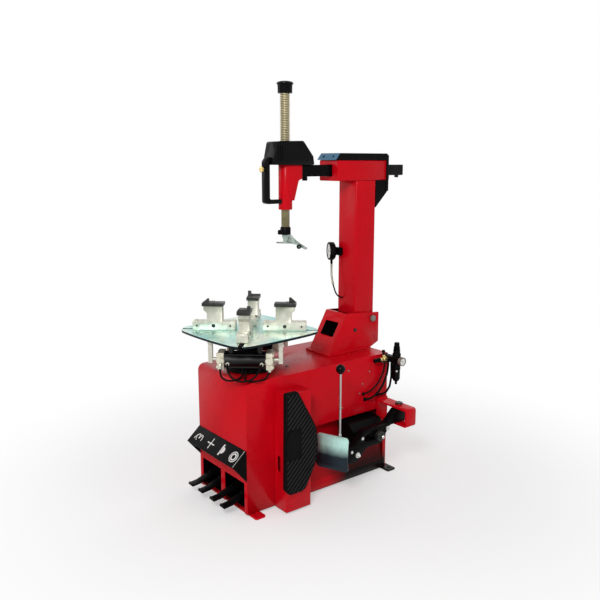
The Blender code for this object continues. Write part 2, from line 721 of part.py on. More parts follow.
# Column
def column_bracket():
    inner = COLUMN_WIDTH / 2 + BRACKET_PLAY
    outer = inner + BRACKET_PLATE
    base = CABINET_TOP + GAP
    rear = PIVOT_Y + 0.042
    side = [
        (0.385, base), (0.640, base), (rear, COLUMN_FOOT), (rear, BRACKET_TOP - 0.015),
        (0.520, BRACKET_TOP), (0.490, BRACKET_TOP)]
    plates = [prism(side, "X", x, x + BRACKET_PLATE) for x in (-outer, inner)]
    slope = [(0.385, base), (0.397, base), (0.502, BRACKET_TOP), (0.490, BRACKET_TOP)]
    front = prism(slope, "X", -outer, outer)
    floor = block((-outer - 0.012, 0.370, base), (outer + 0.012, 0.640, base + 0.008), 0.010)
    window = block(
        (-BRACKET_WINDOW, 0.35, CABINET_TOP + 0.075), (BRACKET_WINDOW, 0.56, CABINET_TOP + 0.140), 0.006, "Y")
    hole = rod((-0.2, PIVOT_Y, PIVOT_Z), (0.2, PIVOT_Y, PIVOT_Z), PIVOT_RADIUS + GAP)
    piece("column_bracket", RED, [plates[0], plates[1], front, floor], [window, hole])


def tilt_pivot():
    half = COLUMN_WIDTH / 2 + BRACKET_PLAY + BRACKET_PLATE + GAP
    shank = rod((-half - 0.008, PIVOT_Y, PIVOT_Z), (half + 0.004, PIVOT_Y, PIVOT_Z), PIVOT_RADIUS, 16)
    head = turned([(0.017, 0), (0.017, 0.009), (0.013, 0.012)], (half, PIVOT_Y, PIVOT_Z), (1, 0, 0), 6)
    nut = turned([(0.017, 0), (0.017, 0.010)], (-half, PIVOT_Y, PIVOT_Z), (-1, 0, 0), 6)
    piece("tilt_pivot", ZINC, [shank, head, nut])


def column():
    half = COLUMN_WIDTH / 2
    top = BAR_Z - BOX_HEIGHT / 2 - GAP
    pivot = (0, PIVOT_Y, PIVOT_Z)
    outside = block((-half, COLUMN_FRONT, COLUMN_FOOT), (half, COLUMN_REAR, top), 0.008)
    wall = COLUMN_WALL
    inside = block(
        (-half + wall, COLUMN_FRONT + wall, COLUMN_FOOT - 0.02),
        (half - wall, COLUMN_REAR - wall, top + 0.02), 0.004)
    bore = rod((-half - 0.02, PIVOT_Y, PIVOT_Z), (half + 0.02, PIVOT_Y, PIVOT_Z), PIVOT_RADIUS + RUN)
    piece("column_tube", RED, [outside], [inside, bore], pivot=pivot)

    box_half = BOX_WIDTH / 2
    low, high = BAR_Z - BOX_HEIGHT / 2, BAR_Z + BOX_HEIGHT / 2
    box = block((-box_half, BOX_FRONT, low), (box_half, BOX_REAR, high), 0.006, "Y")
    slide = BAR_SIZE / 2 + RUN
    way = block((-slide, BOX_FRONT - 0.02, BAR_Z - slide), (slide, BOX_REAR + 0.02, BAR_Z + slide))
    piece("arm_box", RED, [box], [way], pivot=pivot)

    wide = box_half + 0.004
    lid = [(BOX_FRONT - 0.012, high + GAP), (BOX_REAR + 0.013, high + GAP),
           (BOX_REAR + 0.013, high + 0.020), (BOX_REAR, high + 0.030), (BOX_FRONT + 0.012, high + 0.030)]
    top_part = prism(lid, "X", -wide, wide)
    back = block((-wide, BOX_REAR + GAP, low - 0.050), (wide, BOX_REAR + 0.013, high + 0.010))
    foot = [(COLUMN_REAR + GAP, low - 0.125), (BOX_REAR + 0.013, low - 0.050), (BOX_REAR + 0.013, low - GAP),
            (COLUMN_REAR + GAP, low - GAP)]
    shoe = prism(foot, "X", -half, half)
    room = BAR_SIZE / 2 + 0.004
    window = block(
        (-room, BOX_REAR - 0.02, BAR_Z - room - STOP_HEIGHT), (room, BOX_REAR + 0.03, BAR_Z + room))
    piece("arm_cover", BLACK, [top_part, back, shoe], [window], pivot=pivot)


def inflation_gauge():
    """Tyre pressure gauge on the column, its dial turned to the operator's left."""
    x, z = -COLUMN_WIDTH / 2 - 0.007, GAUGE_Z
    front = COLUMN_FRONT - GAP
    facing = Vector((-math.sin(GAUGE_TURN), -math.cos(GAUGE_TURN), 0))
    back = Vector((x, front - 0.016, z))
    arm = block((x - 0.010, front - 0.018, z - 0.018), (x + 0.042, front, z + 0.018), 0.004, "Y")
    r = GAUGE_RADIUS
    case = turned(
        [(r - 0.0065, 0), (r, 0.006), (r, 0.028), (r - 0.0035, 0.030), (r - 0.0045, 0.026), (0, 0.026)],
        back, facing, 28)
    middle = back + facing * 0.014
    end = middle - Vector((0, 0, r + 0.0175))
    stem = rod(end, middle - Vector((0, 0, r - 0.0075)), 0.006, 12)
    piece("inflation_gauge", BLACK, [arm, case, stem], pivot=(0, PIVOT_Y, PIVOT_Z))
    low = GAUGE_HOSE_END
    route = [
        end - Vector((0, 0, GAP)), end - Vector((0, 0, 0.020)), (x, end.y - 0.006, low + 0.085),
        (x + 0.018, end.y - 0.007, low + 0.032), (x + 0.036, front - 0.018, low), (x + 0.036, front, low)]
    tube("gauge_hose", RUBBER, smooth_route(route, 0.010), 0.0035)


# Arm
def hexagon(flats, low, high):
    corner = flats / math.sqrt(3)
    angles = [k * math.pi / 3 for k in range(6)]
    outline = [(corner * math.cos(t), SHAFT_Y + corner * math.sin(t)) for t in angles]
    return prism(outline, "Z", low, high)


def slide_bar():
    half = BAR_SIZE / 2
    bar = block((-half, BAR_FRONT, BAR_Z - half), (half, BAR_REAR, BAR_Z + half), 0.004, "Y")
    stops = [
        rod((0, y, BAR_Z - half - STOP_HEIGHT), (0, y, BAR_Z - half + 0.004), STOP_RADIUS, 6)
        for y in (STOP_FRONT, STOP_REAR)
    ]
    piece("slide_bar", BLACK_STEEL, [bar, together(*stops)])


def head_casting():
    """Red casting that guides the vertical shaft and takes the bar."""
    top = BAR_Z + BAR_SIZE / 2
    body = turned(
        [(CASTING_RADIUS - 0.002, CASTING_LOW), (CASTING_RADIUS, CASTING_LOW + 0.002), (CASTING_RADIUS, top)],
        (0, SHAFT_Y, 0), sides=24)
    end = BAR_FRONT - GAP
    web_low, under = BAR_Z - 0.125, BAR_Z - BAR_SIZE / 2 - 0.009
    web_outline = [
        (SHAFT_Y, web_low), (SHAFT_Y + CASTING_RADIUS - 0.004, web_low), (end - 0.018, under - 0.006),
        (end, under), (end, top), (SHAFT_Y, top)]
    web = prism(fillet(web_outline, [0, 0, 0.012, 0, 0, 0], 3), "X", -CASTING_RADIUS, CASTING_RADIUS)
    bore = hexagon(SHAFT_FLATS + 2 * RUN, CASTING_LOW - 0.02, SPRING_SEAT + 0.02)
    spigot = rod((0, SHAFT_Y, top - 0.004), (0, SHAFT_Y, SPRING_SEAT - GAP), SPIGOT_RADIUS, 24)
    piece("head_casting", RED, [body, web, spigot], [bore])


def head_cover():
    """Black cover over the shaft guide with the D handle that hangs from its front."""
    low = BAR_Z + BAR_SIZE / 2 + GAP
    high = BAR_Z + 0.126
    outline = [(0.104, low), (0.322, low), (0.316, high - 0.065), (0.262, high), (0.126, high - 0.004)]
    cover = prism(fillet(outline, [0.004, 0.006, 0.014, 0.012, 0.012], 3), "X", -COVER_HALF, COVER_HALF)
    grooves = [
        block((x - 0.0025, y - 0.002, low + 0.018), (x + 0.0025, y + 0.002, high - 0.022))
        for x in (-COVER_HALF, COVER_HALF) for y in (0.130, 0.140, 0.150)
    ]
    foot = SHAFT_Y - CASTING_RADIUS - GAP
    front, back = HANDLE_FRONT, HANDLE_FRONT + HANDLE_THICK
    grip = fillet(
        [(front, HANDLE_LOW), (foot, HANDLE_LOW), (foot, HANDLE_LOW + 0.018), (back, HANDLE_LOW + 0.018),
         (back, low + 0.002), (0.130, low + 0.002), (0.130, low + 0.032), (front + 0.015, low + 0.032),
         (front, low + 0.014)],
        [0.014, 0, 0, 0.008, 0, 0, 0, 0.008, 0.008], 4)
    handle = prism(grip, "X", -HANDLE_WIDTH / 2, HANDLE_WIDTH / 2)
    spring_bore = rod((0, SHAFT_Y, low - 0.02), (0, SHAFT_Y, high + 0.02), SPIGOT_RADIUS + 0.0015, 24)
    bore_end = front + BUTTON_TRAVEL + 0.006
    button_bore = rod((0, front - 0.01, BUTTON_Z), (0, bore_end, BUTTON_Z), BUTTON_STEM + RUN, 16)
    piece("head_cover", BLACK, [cover, handle], [spring_bore, together(*grooves), button_bore])


def lock_button():
    stand = BUTTON_TRAVEL + 0.0012
    profile = [
        (BUTTON_STEM, -0.010), (BUTTON_STEM, 0.0005), (0.0095, 0.001), (0.0095, 0.008), (0.007, 0.010),
        (0, 0.010)]
    cap = turned(profile, (0, HANDLE_FRONT - stand, BUTTON_Z), (0, -1, 0), 16)
    piece("lock_button", BRASS, [cap], pivot=(0, HANDLE_FRONT, BUTTON_Z))


def vertical_shaft():
    pivot = (0, SHAFT_Y, SHAFT_LOW)
    piece("hex_shaft", ZINC, [hexagon(SHAFT_FLATS, SHAFT_LOW, SHAFT_HIGH)], pivot=pivot)
    low = SHAFT_HIGH + GAP
    dome = turned(
        [(CAP_RADIUS, low), (CAP_RADIUS, low + 0.010), (CAP_RADIUS - 0.004, low + 0.014),
         (CAP_RADIUS - 0.005, low + CAP_HEIGHT - 0.014), (CAP_RADIUS - 0.012, low + CAP_HEIGHT - 0.003),
         (0, low + CAP_HEIGHT)], (0, SHAFT_Y, 0), sides=24)
    piece("shaft_cap", BLACK, [dome], pivot=pivot)


def return_spring():
    """Open coil spring from the casting's spigot to the cap, one unbroken wire."""
    low = SPRING_SEAT + SPRING_WIRE + GAP
    high = SHAFT_HIGH - SPRING_WIRE - GAP
    count = SPRING_CURLS * SPRING_POINTS
    coil = []
    for k in range(count + 1):
        angle = 2 * math.pi * k / SPRING_POINTS
        z = low + (high - low) * k / count
        coil.append(Vector((SPRING_RADIUS * math.cos(angle), SHAFT_Y + SPRING_RADIUS * math.sin(angle), z)))
    rise = Vector((0, 0, SPRING_WIRE))
    points = [coil[0] - rise, *coil, coil[-1] + rise]
    least = min(
        (a - b).length for i, a in enumerate(coil) for b in coil[i + SPRING_POINTS // 2:]
    ) - SPRING_WIRE
    print(f"return_spring least gap to itself {least * 1000:.2f} mm")
    tube("return_spring", ZINC, points, SPRING_WIRE / 2, 1)


def mount_head():
    """Mounting head under the shaft: collar, curved foot and finger, with a roller on its side."""
    turn = Matrix.Translation((0, SHAFT_Y, 0)) @ Matrix.Rotation(HEAD_ANGLE, 4, "Z")
    high = SHAFT_LOW - GAP
    axle = Vector((0.064, -0.0145, SHAFT_LOW - 0.082))
    collar = turned([(SHAFT_CORNER + 0.0045, high - 0.032), (SHAFT_CORNER + 0.0045, high)], sides=20)
    drops = [
        (-0.030, 0.020), (0.024, 0.020), (0.034, 0.038), (0.056, 0.060), (0.094, 0.086), (0.095, 0.095),
        (0.086, 0.098), (0.050, 0.080), (0.020, 0.071), (-0.036, 0.071), (-0.042, 0.064), (-0.030, 0.051)]
    body = prism([(x, SHAFT_LOW - drop) for x, drop in drops], "Y", -0.014, 0.014)
    stud = rod(axle + Vector((0, 0.0045, 0)), axle - Vector((0, 0.0138, 0)), ROLLER_STUD, 16)
    solids = [body, collar, stud]
    for solid in solids:
        solid.transform(turn)
    piece("mount_head", STEEL, solids, pivot=(0, SHAFT_Y, SHAFT_LOW))
    bore = ROLLER_STUD + RUN
    roller = turned(
        [(bore, 0), (0.009, 0), (0.010, 0.003), (0.010, 0.010), (0.009, 0.013), (bore, 0.013)],
        axle, (0, -1, 0), 16, True)
    roller.transform(turn)
    piece("head_roller", BLACK, [roller], pivot=tuple(turn @ axle))


# Bead breaker
def bead_bracket():
    """Red channel that carries the bead arm between its two flanges, with the pivot pin."""
    inside = HALF + GAP
    front, rear = C_BRACKET_FRONT, CABINET_REAR
    end, low, high, t = C_BRACKET_OUT, C_BRACKET_LOW, C_BRACKET_TOP, C_PLATE
    root = inside + t / 2
    section = [
        (root, low), (end, low), (end, high), (root, high),
        (root, high - t), (end - t, high - t), (end - t, low + t), (root, low + t)]
    channel = prism(fillet(section, [0, 0.012, 0.012, 0, 0, 0.004, 0.004, 0], 3), "Y", front, rear)
    foot = block((inside, front - 0.006, low - 0.022), (inside + t, rear - 0.004, high + 0.012), 0.006, "X")
    pin = rod((BEAD_PIN_X, BEAD_PIN_Y, low - 0.008), (BEAD_PIN_X, BEAD_PIN_Y, high + 0.004), BEAD_PIN_RADIUS)
    head = bolt((BEAD_PIN_X, BEAD_PIN_Y, high + 0.001), (0, 0, 1), 0.017, 0.008)
    piece("bead_bracket", RED, [channel, foot, pin, head])


def bead_arm():
    low, high = C_BRACKET_LOW + C_PLATE + RUN, C_BRACKET_TOP - C_PLATE - RUN
    outline = [
        (BEAD_PIN_Y + 0.028, high), (0.585, high), (0.525, 0.290), (0.385, 0.288), (0.335, 0.236),
        (0.288, 0.232), (0.288, 0.156), (0.345, 0.156), (0.400, 0.208), (0.490, 0.208), (0.540, low),
        (BEAD_PIN_Y + 0.028, low)]
    radii = [0.010, 0.03, 0.03, 0.03, 0.02, 0.01, 0.01, 0.02, 0.03, 0.02, 0.02, 0.010]
    half = BEAD_ARM_THICK / 2
    bar = prism(fillet(outline, radii, 3), "X", BEAD_PIN_X - half, BEAD_PIN_X + half)
    eye = rod((SWIVEL_X, SWIVEL_Y, EYE_LOW), (SWIVEL_X, SWIVEL_Y, EYE_HIGH), SWIVEL_PIN + 0.009)
    neck = block((SWIVEL_X - 0.012, SWIVEL_Y, EYE_LOW), (SWIVEL_X + 0.012, 0.300, EYE_HIGH))
    slot = block(
        (BEAD_PIN_X - 0.05, BEAD_ROD_Y - 0.082, BEAD_ROD_Z - 0.016),
        (BEAD_PIN_X + 0.05, BEAD_ROD_Y + 0.022, BEAD_ROD_Z + 0.016), 0.012, "X")
    bores = together(
        rod((BEAD_PIN_X, BEAD_PIN_Y, 0.2), (BEAD_PIN_X, BEAD_PIN_Y, 0.4), BEAD_PIN_RADIUS + RUN),
        rod((SWIVEL_X, SWIVEL_Y, 0.1), (SWIVEL_X, SWIVEL_Y, 0.26), SWIVEL_PIN + RUN))
    pivot = (BEAD_PIN_X, BEAD_PIN_Y, BEAD_ROD_Z)
    piece("bead_arm", BLACK_STEEL, [bar, neck, eye], [slot, bores], pivot=pivot)


def bead_drive():
    """Bead breaker cylinder inside the cabinet, its rod through the arm, and the guard outside."""
    end_in, end_out = -HALF + 0.040, HALF - RECESS_DEPTH - SHEET - 0.012
    y, z, r, length = BEAD_ROD_Y, BEAD_ROD_Z, BEAD_CYLINDER_RADIUS, end_out - end_in
    flange = r + 0.008
    barrel = turned(
        [(flange, 0), (flange, 0.016), (r, 0.018), (r, length - 0.018), (flange, length - 0.016),
         (flange, length)], (end_in, y, z), (1, 0, 0), 28)
    stand = block((end_in, y - 0.05, CABINET_LOW), (end_in + 0.012, y + 0.05, z))
    stay = block((-HALF + SHEET + GAP, y - 0.02, z - 0.02), (end_in + 0.006, y + 0.02, z + 0.02))
    bore = rod((end_in + 0.02, y, z), (end_out + 0.02, y, z), BEAD_ROD_RADIUS + RUN)
    piece("bead_cylinder", GREY, [barrel, stand, stay], [bore])

    face = BEAD_PIN_X + BEAD_ARM_THICK / 2 + GAP
    shank = rod((end_in + 0.03, y, z), (face + 0.030, y, z), BEAD_ROD_RADIUS)
    nut = turned([(0.024, 0), (0.024, 0.018), (0.020, 0.022)], (face, y, z), (1, 0, 0), 6)
    piece("bead_rod", CHROME, [shank, nut])

    low, high = BEAD_ROD_Z - 0.045, RECESS_TOP - RECESS_DROP - 0.006
    out = BEAD_PIN_X - BEAD_ARM_THICK / 2 - 0.022
    front, rear = BEAD_ROD_Y - 0.098, BEAD_ROD_Y + 0.090
    section = [
        (recess_face(low) + GAP, low), (out, low), (out, high - 0.030), (out - 0.030, high),
        (recess_face(high) + GAP, high)]
    cover = prism(section, "Y", front, rear)
    hollow = block(
        (recess_face(low) - 0.05, front + SHEET, low - 0.02), (out - SHEET, rear - SHEET, high - 0.034))
    hole = rod((HALF - 0.09, y, z), (out + 0.02, y, z), BEAD_ROD_RADIUS + 0.004)
    piece("bead_guard", BLACK_STEEL, [cover], [hollow, hole])


def bead_blade():
    """Curved blade with rounded corners, two ears and the pin it swivels on."""
    inner, outer = Vector(BLADE_INNER), Vector(BLADE_OUTER)
    length = (outer - inner).length
    along = (outer - inner).normalized()
    frame = Matrix.Translation((inner.x, inner.y, 0)) @ Matrix.Rotation(math.atan2(along.y, along.x), 4, "Z")
    steps = 6
    middle, half = (BLADE_TOP + BLADE_LOW) / 2, (BLADE_TOP - BLADE_LOW) / 2
    heights = [BLADE_LOW + (BLADE_TOP - BLADE_LOW) * k / steps for k in range(steps + 1)]
    bow = [-BLADE_BOW * (1 - ((z - middle) / half) ** 2) for z in heights]
    section = [(b - BLADE_THICK / 2, z) for b, z in zip(bow, heights)]
    section += [(b + BLADE_THICK / 2, z) for b, z in zip(reversed(bow), reversed(heights))]
    plate = prism(section, "X", 0, length)
    trim = block((0, -0.1, BLADE_LOW), (length, 0.1, BLADE_TOP), 0.016, "Y")
    swivel = frame.inverted() @ Vector((SWIVEL_X, SWIVEL_Y, 0))
    ears = []
    ear_thick = 0.008
    for z in (EYE_LOW - RUN - ear_thick, EYE_HIGH + RUN):
        outline = [
            (swivel.x - 0.020, -0.008), (swivel.x + 0.020, -0.008),
            (swivel.x + 0.014, swivel.y + 0.014), (swivel.x - 0.014, swivel.y + 0.014)]
        ears.append(prism(fillet(outline, [0, 0, 0.012, 0.012]), "Z", z, z + ear_thick))
    for solid in (plate, trim, *ears):
        solid.transform(frame)
    pin = rod((SWIVEL_X, SWIVEL_Y, EYE_LOW - 0.012), (SWIVEL_X, SWIVEL_Y, EYE_HIGH + 0.014), SWIVEL_PIN)
    pivot = (SWIVEL_X, SWIVEL_Y, BEAD_ROD_Z)
    piece("bead_blade", STEEL, [plate, *ears, pin], meets=[trim], pivot=pivot)

    foot = frame @ Vector((length * 0.72, 0, BLADE_TOP + GAP))
    low, high = BLADE_TOP + GAP, KNOB_Z - KNOB_RADIUS * 0.9
    stem = turned(
        [(0.0075, low), (0.0075, low + 0.012), (0.005, low + 0.015), (0.005, high)],
        (foot.x, foot.y, 0), sides=12)
    piece("blade_handle", CHROME, [stem], pivot=(foot.x, foot.y, low))
    angles = [k * math.pi / 10 for k in range(2, 10)]
    rounds = [(KNOB_RADIUS * math.sin(t), KNOB_Z - KNOB_RADIUS * math.cos(t)) for t in angles]
    ball = turned([(0.006, high + GAP), *rounds, (0, KNOB_Z + KNOB_RADIUS)], (foot.x, foot.y, 0), sides=20)
    piece("ball_knob", BLACK, [ball], pivot=(foot.x, foot.y, KNOB_Z))


# Air preparation unit
def air_unit():
    inside = HALF + GAP
    port_low, port_out = UNIT_MIDDLE - 0.014, UNIT_X + 0.026
    body = turned(
        [(UNIT_RADIUS - 0.0045, UNIT_LOW), (UNIT_RADIUS, UNIT_LOW + 0.003), (UNIT_RADIUS, UNIT_LOW + 0.053),
         (UNIT_RADIUS - 0.0035, UNIT_LOW + 0.057), (UNIT_RADIUS - 0.0035, UNIT_TOP)],
        (UNIT_X, UNIT_Y, 0), sides=20)
    port = block(
        (inside, UNIT_Y - 0.022, port_low), (port_out, UNIT_Y + 0.004, UNIT_MIDDLE + 0.014), 0.004)
    plate = block(
        (inside, UNIT_Y - 0.036, UNIT_LOW - 0.001), (inside + 0.006, UNIT_Y + 0.006, UNIT_LOW + 0.041),
        0.006, "X")
    piece("air_unit_body", BLACK, [body, port, plate])
    bowl_drops = [
        (0.004, 0.093), (0.006, 0.091), (0.006, 0.079), (0.013, 0.075), (0.018, 0.065), (0.018, GAP)]
    bowl = turned([(r, UNIT_LOW - drop) for r, drop in bowl_drops], (UNIT_X, UNIT_Y, 0), sides=20)
    piece("air_unit_bowl", BLACK, [bowl])
    knob = turned(
        [(0.013, UNIT_TOP + GAP), (0.0145, UNIT_TOP + 0.006), (0.0145, UNIT_TOP + 0.012),
         (0.0125, UNIT_TOP + 0.014), (0.0125, UNIT_TOP + 0.028), (0.010, UNIT_TOP + 0.032)],
        (UNIT_X, UNIT_Y, 0), sides=12)
    piece("regulator_knob", BLACK, [knob], pivot=(UNIT_X, UNIT_Y, UNIT_TOP))
    gauge = turned(
        [(0.006, 0), (0.006, 0.006), (0.016, 0.008), (0.0195, 0.011), (0.0195, 0.023), (0.0175, 0.024),
         (0.0175, 0.022), (0, 0.022)], (port_out + GAP, UNIT_Y - 0.009, UNIT_MIDDLE), (1, 0, 0), 24)
    piece("air_unit_gauge", DIAL, [gauge])
    inlet = turned(
        [(0.009, 0), (0.009, 0.010), (0.0115, 0.011), (0.0115, 0.022), (0.008, 0.024), (0.008, 0.038),
         (0.0065, 0.044)], (HALF + 0.024, UNIT_Y - 0.022 - GAP, UNIT_MIDDLE), (0, -1, 0), 16)
    piece("air_inlet", BRASS, [inlet])
    offsets = [
        (0.022, 0.009, GAP), (0.022, 0.009, 0.023), (0.025, 0.022, 0.068), (0.030, 0.060, 0.118),
        (0.027, 0.106, 0.155), (0.018, 0.130, 0.1665), (GAP, 0.130, 0.1665)]
    route = [(HALF + out, UNIT_Y - ahead, port_low - drop) for out, ahead, drop in offsets]
    tube("air_hose", RUBBER, smooth_route(route, 0.013), HOSE_RADIUS)


def machine():
    cabinet()
    side_panel()
    foot_rails()
    bead_pad_box()
    bead_pad()
    pedal_hood()
    pedals()
    turntable()
    column_bracket()
    tilt_pivot()
    column()
    inflation_gauge()
    slide_bar()
    head_casting()
    head_cover()
    lock_button()
    vertical_shaft()
    return_spring()
    mount_head()
    bead_bracket()
    bead_arm()
    bead_drive()
    bead_blade()
    air_unit()


machine()
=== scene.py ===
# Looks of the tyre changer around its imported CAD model: finishes, hoses, fasteners, dials and signs.
# Metres, +Z up, in the frame of the CAD model; mm() takes millimetres.
import json
from math import asin, cos, pi, radians, sin, sqrt

import bmesh
import bpy
from mathutils import Matrix, Vector

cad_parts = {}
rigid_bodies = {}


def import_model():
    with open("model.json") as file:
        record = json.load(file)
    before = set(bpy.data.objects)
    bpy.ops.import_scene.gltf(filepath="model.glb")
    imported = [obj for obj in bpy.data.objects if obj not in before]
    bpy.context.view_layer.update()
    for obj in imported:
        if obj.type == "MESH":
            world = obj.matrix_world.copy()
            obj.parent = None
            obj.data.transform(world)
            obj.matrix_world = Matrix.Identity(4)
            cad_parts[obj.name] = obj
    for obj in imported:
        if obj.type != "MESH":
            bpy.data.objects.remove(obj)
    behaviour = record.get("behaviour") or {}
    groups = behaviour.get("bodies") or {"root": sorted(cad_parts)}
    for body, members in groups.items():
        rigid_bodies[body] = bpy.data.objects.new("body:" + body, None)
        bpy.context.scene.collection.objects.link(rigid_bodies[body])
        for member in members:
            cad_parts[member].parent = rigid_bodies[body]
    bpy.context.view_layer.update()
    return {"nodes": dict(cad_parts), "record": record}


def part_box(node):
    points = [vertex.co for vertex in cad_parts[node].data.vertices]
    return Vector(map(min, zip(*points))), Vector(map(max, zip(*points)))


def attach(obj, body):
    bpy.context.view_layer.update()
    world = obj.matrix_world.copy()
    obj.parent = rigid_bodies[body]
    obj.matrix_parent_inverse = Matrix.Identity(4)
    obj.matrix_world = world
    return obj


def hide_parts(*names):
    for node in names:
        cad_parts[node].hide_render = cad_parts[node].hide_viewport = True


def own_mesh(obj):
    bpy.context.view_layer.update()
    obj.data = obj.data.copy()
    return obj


for old in list(bpy.data.objects):
    bpy.data.objects.remove(old, do_unlink=True)

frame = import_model()
NODES = frame["nodes"]
SCENE = bpy.context.scene
RIGHT, BACK, UP = Vector((1, 0, 0)), Vector((0, 1, 0)), Vector((0, 0, 1))
QUARTER = pi / 2

# Camera as fitted to the photograph, angles in degrees
CAMERA_PLACE = (2.3895, -1.9685, 1.45)
CAMERA_DOWN, CAMERA_TURN = 11.07, 52.06
CAMERA_LENS, CAMERA_SENSOR = 42.45, 36
# What the sky gives to the light; rays that see it meet white
SKY_LIGHT = 0.42

# The CAD source measures from the turntable axis; AXIS is that axis in the model's frame.
AXIS = Vector((-0.0715, -0.3235, 0))
TABLE_ANGLE = radians(49)
GAUGE_TURN = radians(27)

# Heights and places repeated from the CAD source
HALF = 0.19
CABINET_TOP = 0.575
TABLE_TOP = 0.745
CYLINDER_Z = 0.65
CYLINDER_OFFSET = 0.138
SHAFT_Y = 0.194
SHAFT_HIGH = 1.73
SPRING_LOW = 1.4453
SHAFT_LOW = 1.172
HANDLE_FRONT = 0.081
BUTTON_Z = 1.418
ARM_X, ARM_FACE = 0.3, 0.318
ROD_END = 0.3483
UNIT = Vector((0.255, 0.638, 0.557))
UNIT_TOP = 0.605

# Hose fittings in the table's own directions: elbow on the left end cap, nut under the right one,
# two stubs between them, two ports on the swivel
ELBOW_X, ELBOW_Y = -0.098, -0.192
NUT_X, NUT_Y, CAP_LOW = 0.1, -0.162, CYLINDER_Z - 0.0353
STUB_X, STUB_Z = 0.07, 0.64
PORTS = ((0, 0.635), (-0.016, 0.646))

# Edges sharper than these are creased on made pieces and rounded on softened ones
CREASE = radians(32)
ROUNDED_FROM = radians(34)


# Places
def at(x, y, z):
    """A point measured from the turntable axis, in the model's frame."""
    return AXIS + Vector((x, y, z))


def table_turn(quarter=0):
    """The table's own directions, turned on by quarters."""
    return Matrix.Rotation(TABLE_ANGLE + quarter * QUARTER, 4, "Z")


def on_table(x, y, z, quarter=0):
    """A point in the table's own directions, in the model's frame."""
    return AXIS + table_turn(quarter) @ Vector((x, y, z))


def plane(origin, first, second, out):
    """The place of a flat outline, from its origin, its two directions and its outward one."""
    return Matrix.Translation(origin) @ Matrix((first, second, out)).transposed().to_4x4()


def frame_of(origin, along):
    """A place whose outward direction runs along an axis."""
    return Matrix.Translation(origin) @ UP.rotation_difference(Vector(along)).to_matrix().to_4x4()


# The cabinet's right side, seen from the right: backwards, up, outwards
SIDE_PLANE = plane(AXIS, BACK, UP, RIGHT)


def given(made, **settings):
    """The same thing with these settings."""
    for name, value in settings.items():
        setattr(made, name, value)
    return made


def linked(name, data):
    """A new object in the scene."""
    made = bpy.data.objects.new(name, data)
    SCENE.collection.objects.link(made)
    return made


# Shader nodes
def fill(tree, socket, value):
    """Sets a socket, or links it where the value is another node's socket."""
    if isinstance(value, bpy.types.NodeSocket):
        tree.links.new(value, socket)
    else:
        socket.default_value = value


def node(tree, kind, sockets=None, **settings):
    """A new shader node with its settings and the sockets that are given."""
    made = given(tree.nodes.new("ShaderNode" + kind), **settings)
    for name, value in (sockets or {}).items():
        fill(tree, made.inputs[name], value)
    return made


# Studio: camera, light and floor
def studio():
    SCENE.view_settings.view_transform = "Standard"
    camera = given(bpy.data.cameras.new("camera"), lens=CAMERA_LENS, sensor_width=CAMERA_SENSOR)
    turn = (radians(90 - CAMERA_DOWN), 0, radians(CAMERA_TURN))
    SCENE.camera = given(linked("camera", camera), location=CAMERA_PLACE, rotation_euler=turn)
    lamps = (
        ("key", (2.3, -2.8, 2.8), (0, 0, 0.6), 0.9, 84),
        ("side", (2.4, 1, 3.4), (0, 0, 0.8), 1.2, 12),
        ("left", (-2.6, -2.2, 2.2), (0, 0, 0.7), 1.6, 14),
        ("rear", (-1, 2.8, 2.6), (0, 0.2, 0.8), 1.6, 18),
    )
    for name, place, aim, size, power in lamps:
        lamp = given(bpy.data.lights.new(name, "AREA"), shape="SQUARE", size=size, energy=power)
        turn = (Vector(aim) - Vector(place)).to_track_quat("-Z", "Y").to_euler()
        given(linked(name, lamp), location=place, rotation_euler=turn)
    SCENE.world = bpy.data.worlds.new("studio")
    SCENE.world.use_nodes = True
    tree = SCENE.world.node_tree
    strength = node(tree, "MapRange", {"Value": seen_ray(tree), "To Min": SKY_LIGHT, "To Max": 1})
    sky = tree.nodes["Background"].inputs
    fill(tree, sky["Color"], (1, 1, 1, 1))
    fill(tree, sky["Strength"], strength.outputs["Result"])
    floor()


def seen_ray(tree):
    """1 for camera, glossy and transmission rays, 0 for the rest."""
    path = node(tree, "LightPath").outputs
    total = path["Is Camera Ray"]
    for name in ("Is Glossy Ray", "Is Transmission Ray"):
        total = node(tree, "Math", {0: total, 1: path[name]}, operation="MAXIMUM").outputs[0]
    return total


def floor():
    """A pale floor that fades to white away from the machine."""
    bm = bmesh.new()
    bmesh.ops.create_grid(bm, x_segments=1, y_segments=1, size=30)
    mesh = bpy.data.meshes.new("floor")
    bm.to_mesh(mesh)
    bm.free()
    made = linked("floor", mesh)
    made.location.z = -0.0005
    finish = Finish("floor", specular=0.1)
    tree = finish.tree
    fill(tree, finish.shader["Base Color"], (0.95, 0.95, 0.95, 1))
    fill(tree, finish.shader["Roughness"], 0.8)
    reach = finish.node("VectorMath", {0: finish.place}, operation="LENGTH").outputs["Value"]
    near = {"Value": reach, "From Min": 0.6, "From Max": 1.9, "To Min": 0.4}
    fade = finish.node("MapRange", near, interpolation_type="SMOOTHSTEP").outputs["Result"]
    pale, white = tree.nodes["Principled BSDF"].outputs[0], finish.node("Emission").outputs[0]
    mix = finish.node("MixShader", {0: finish.both(fade, seen_ray(tree)), 1: pale, 2: white})
    fill(tree, tree.nodes["Material Output"].inputs["Surface"], mix.outputs[0])
    mesh.materials.append(finish.made)


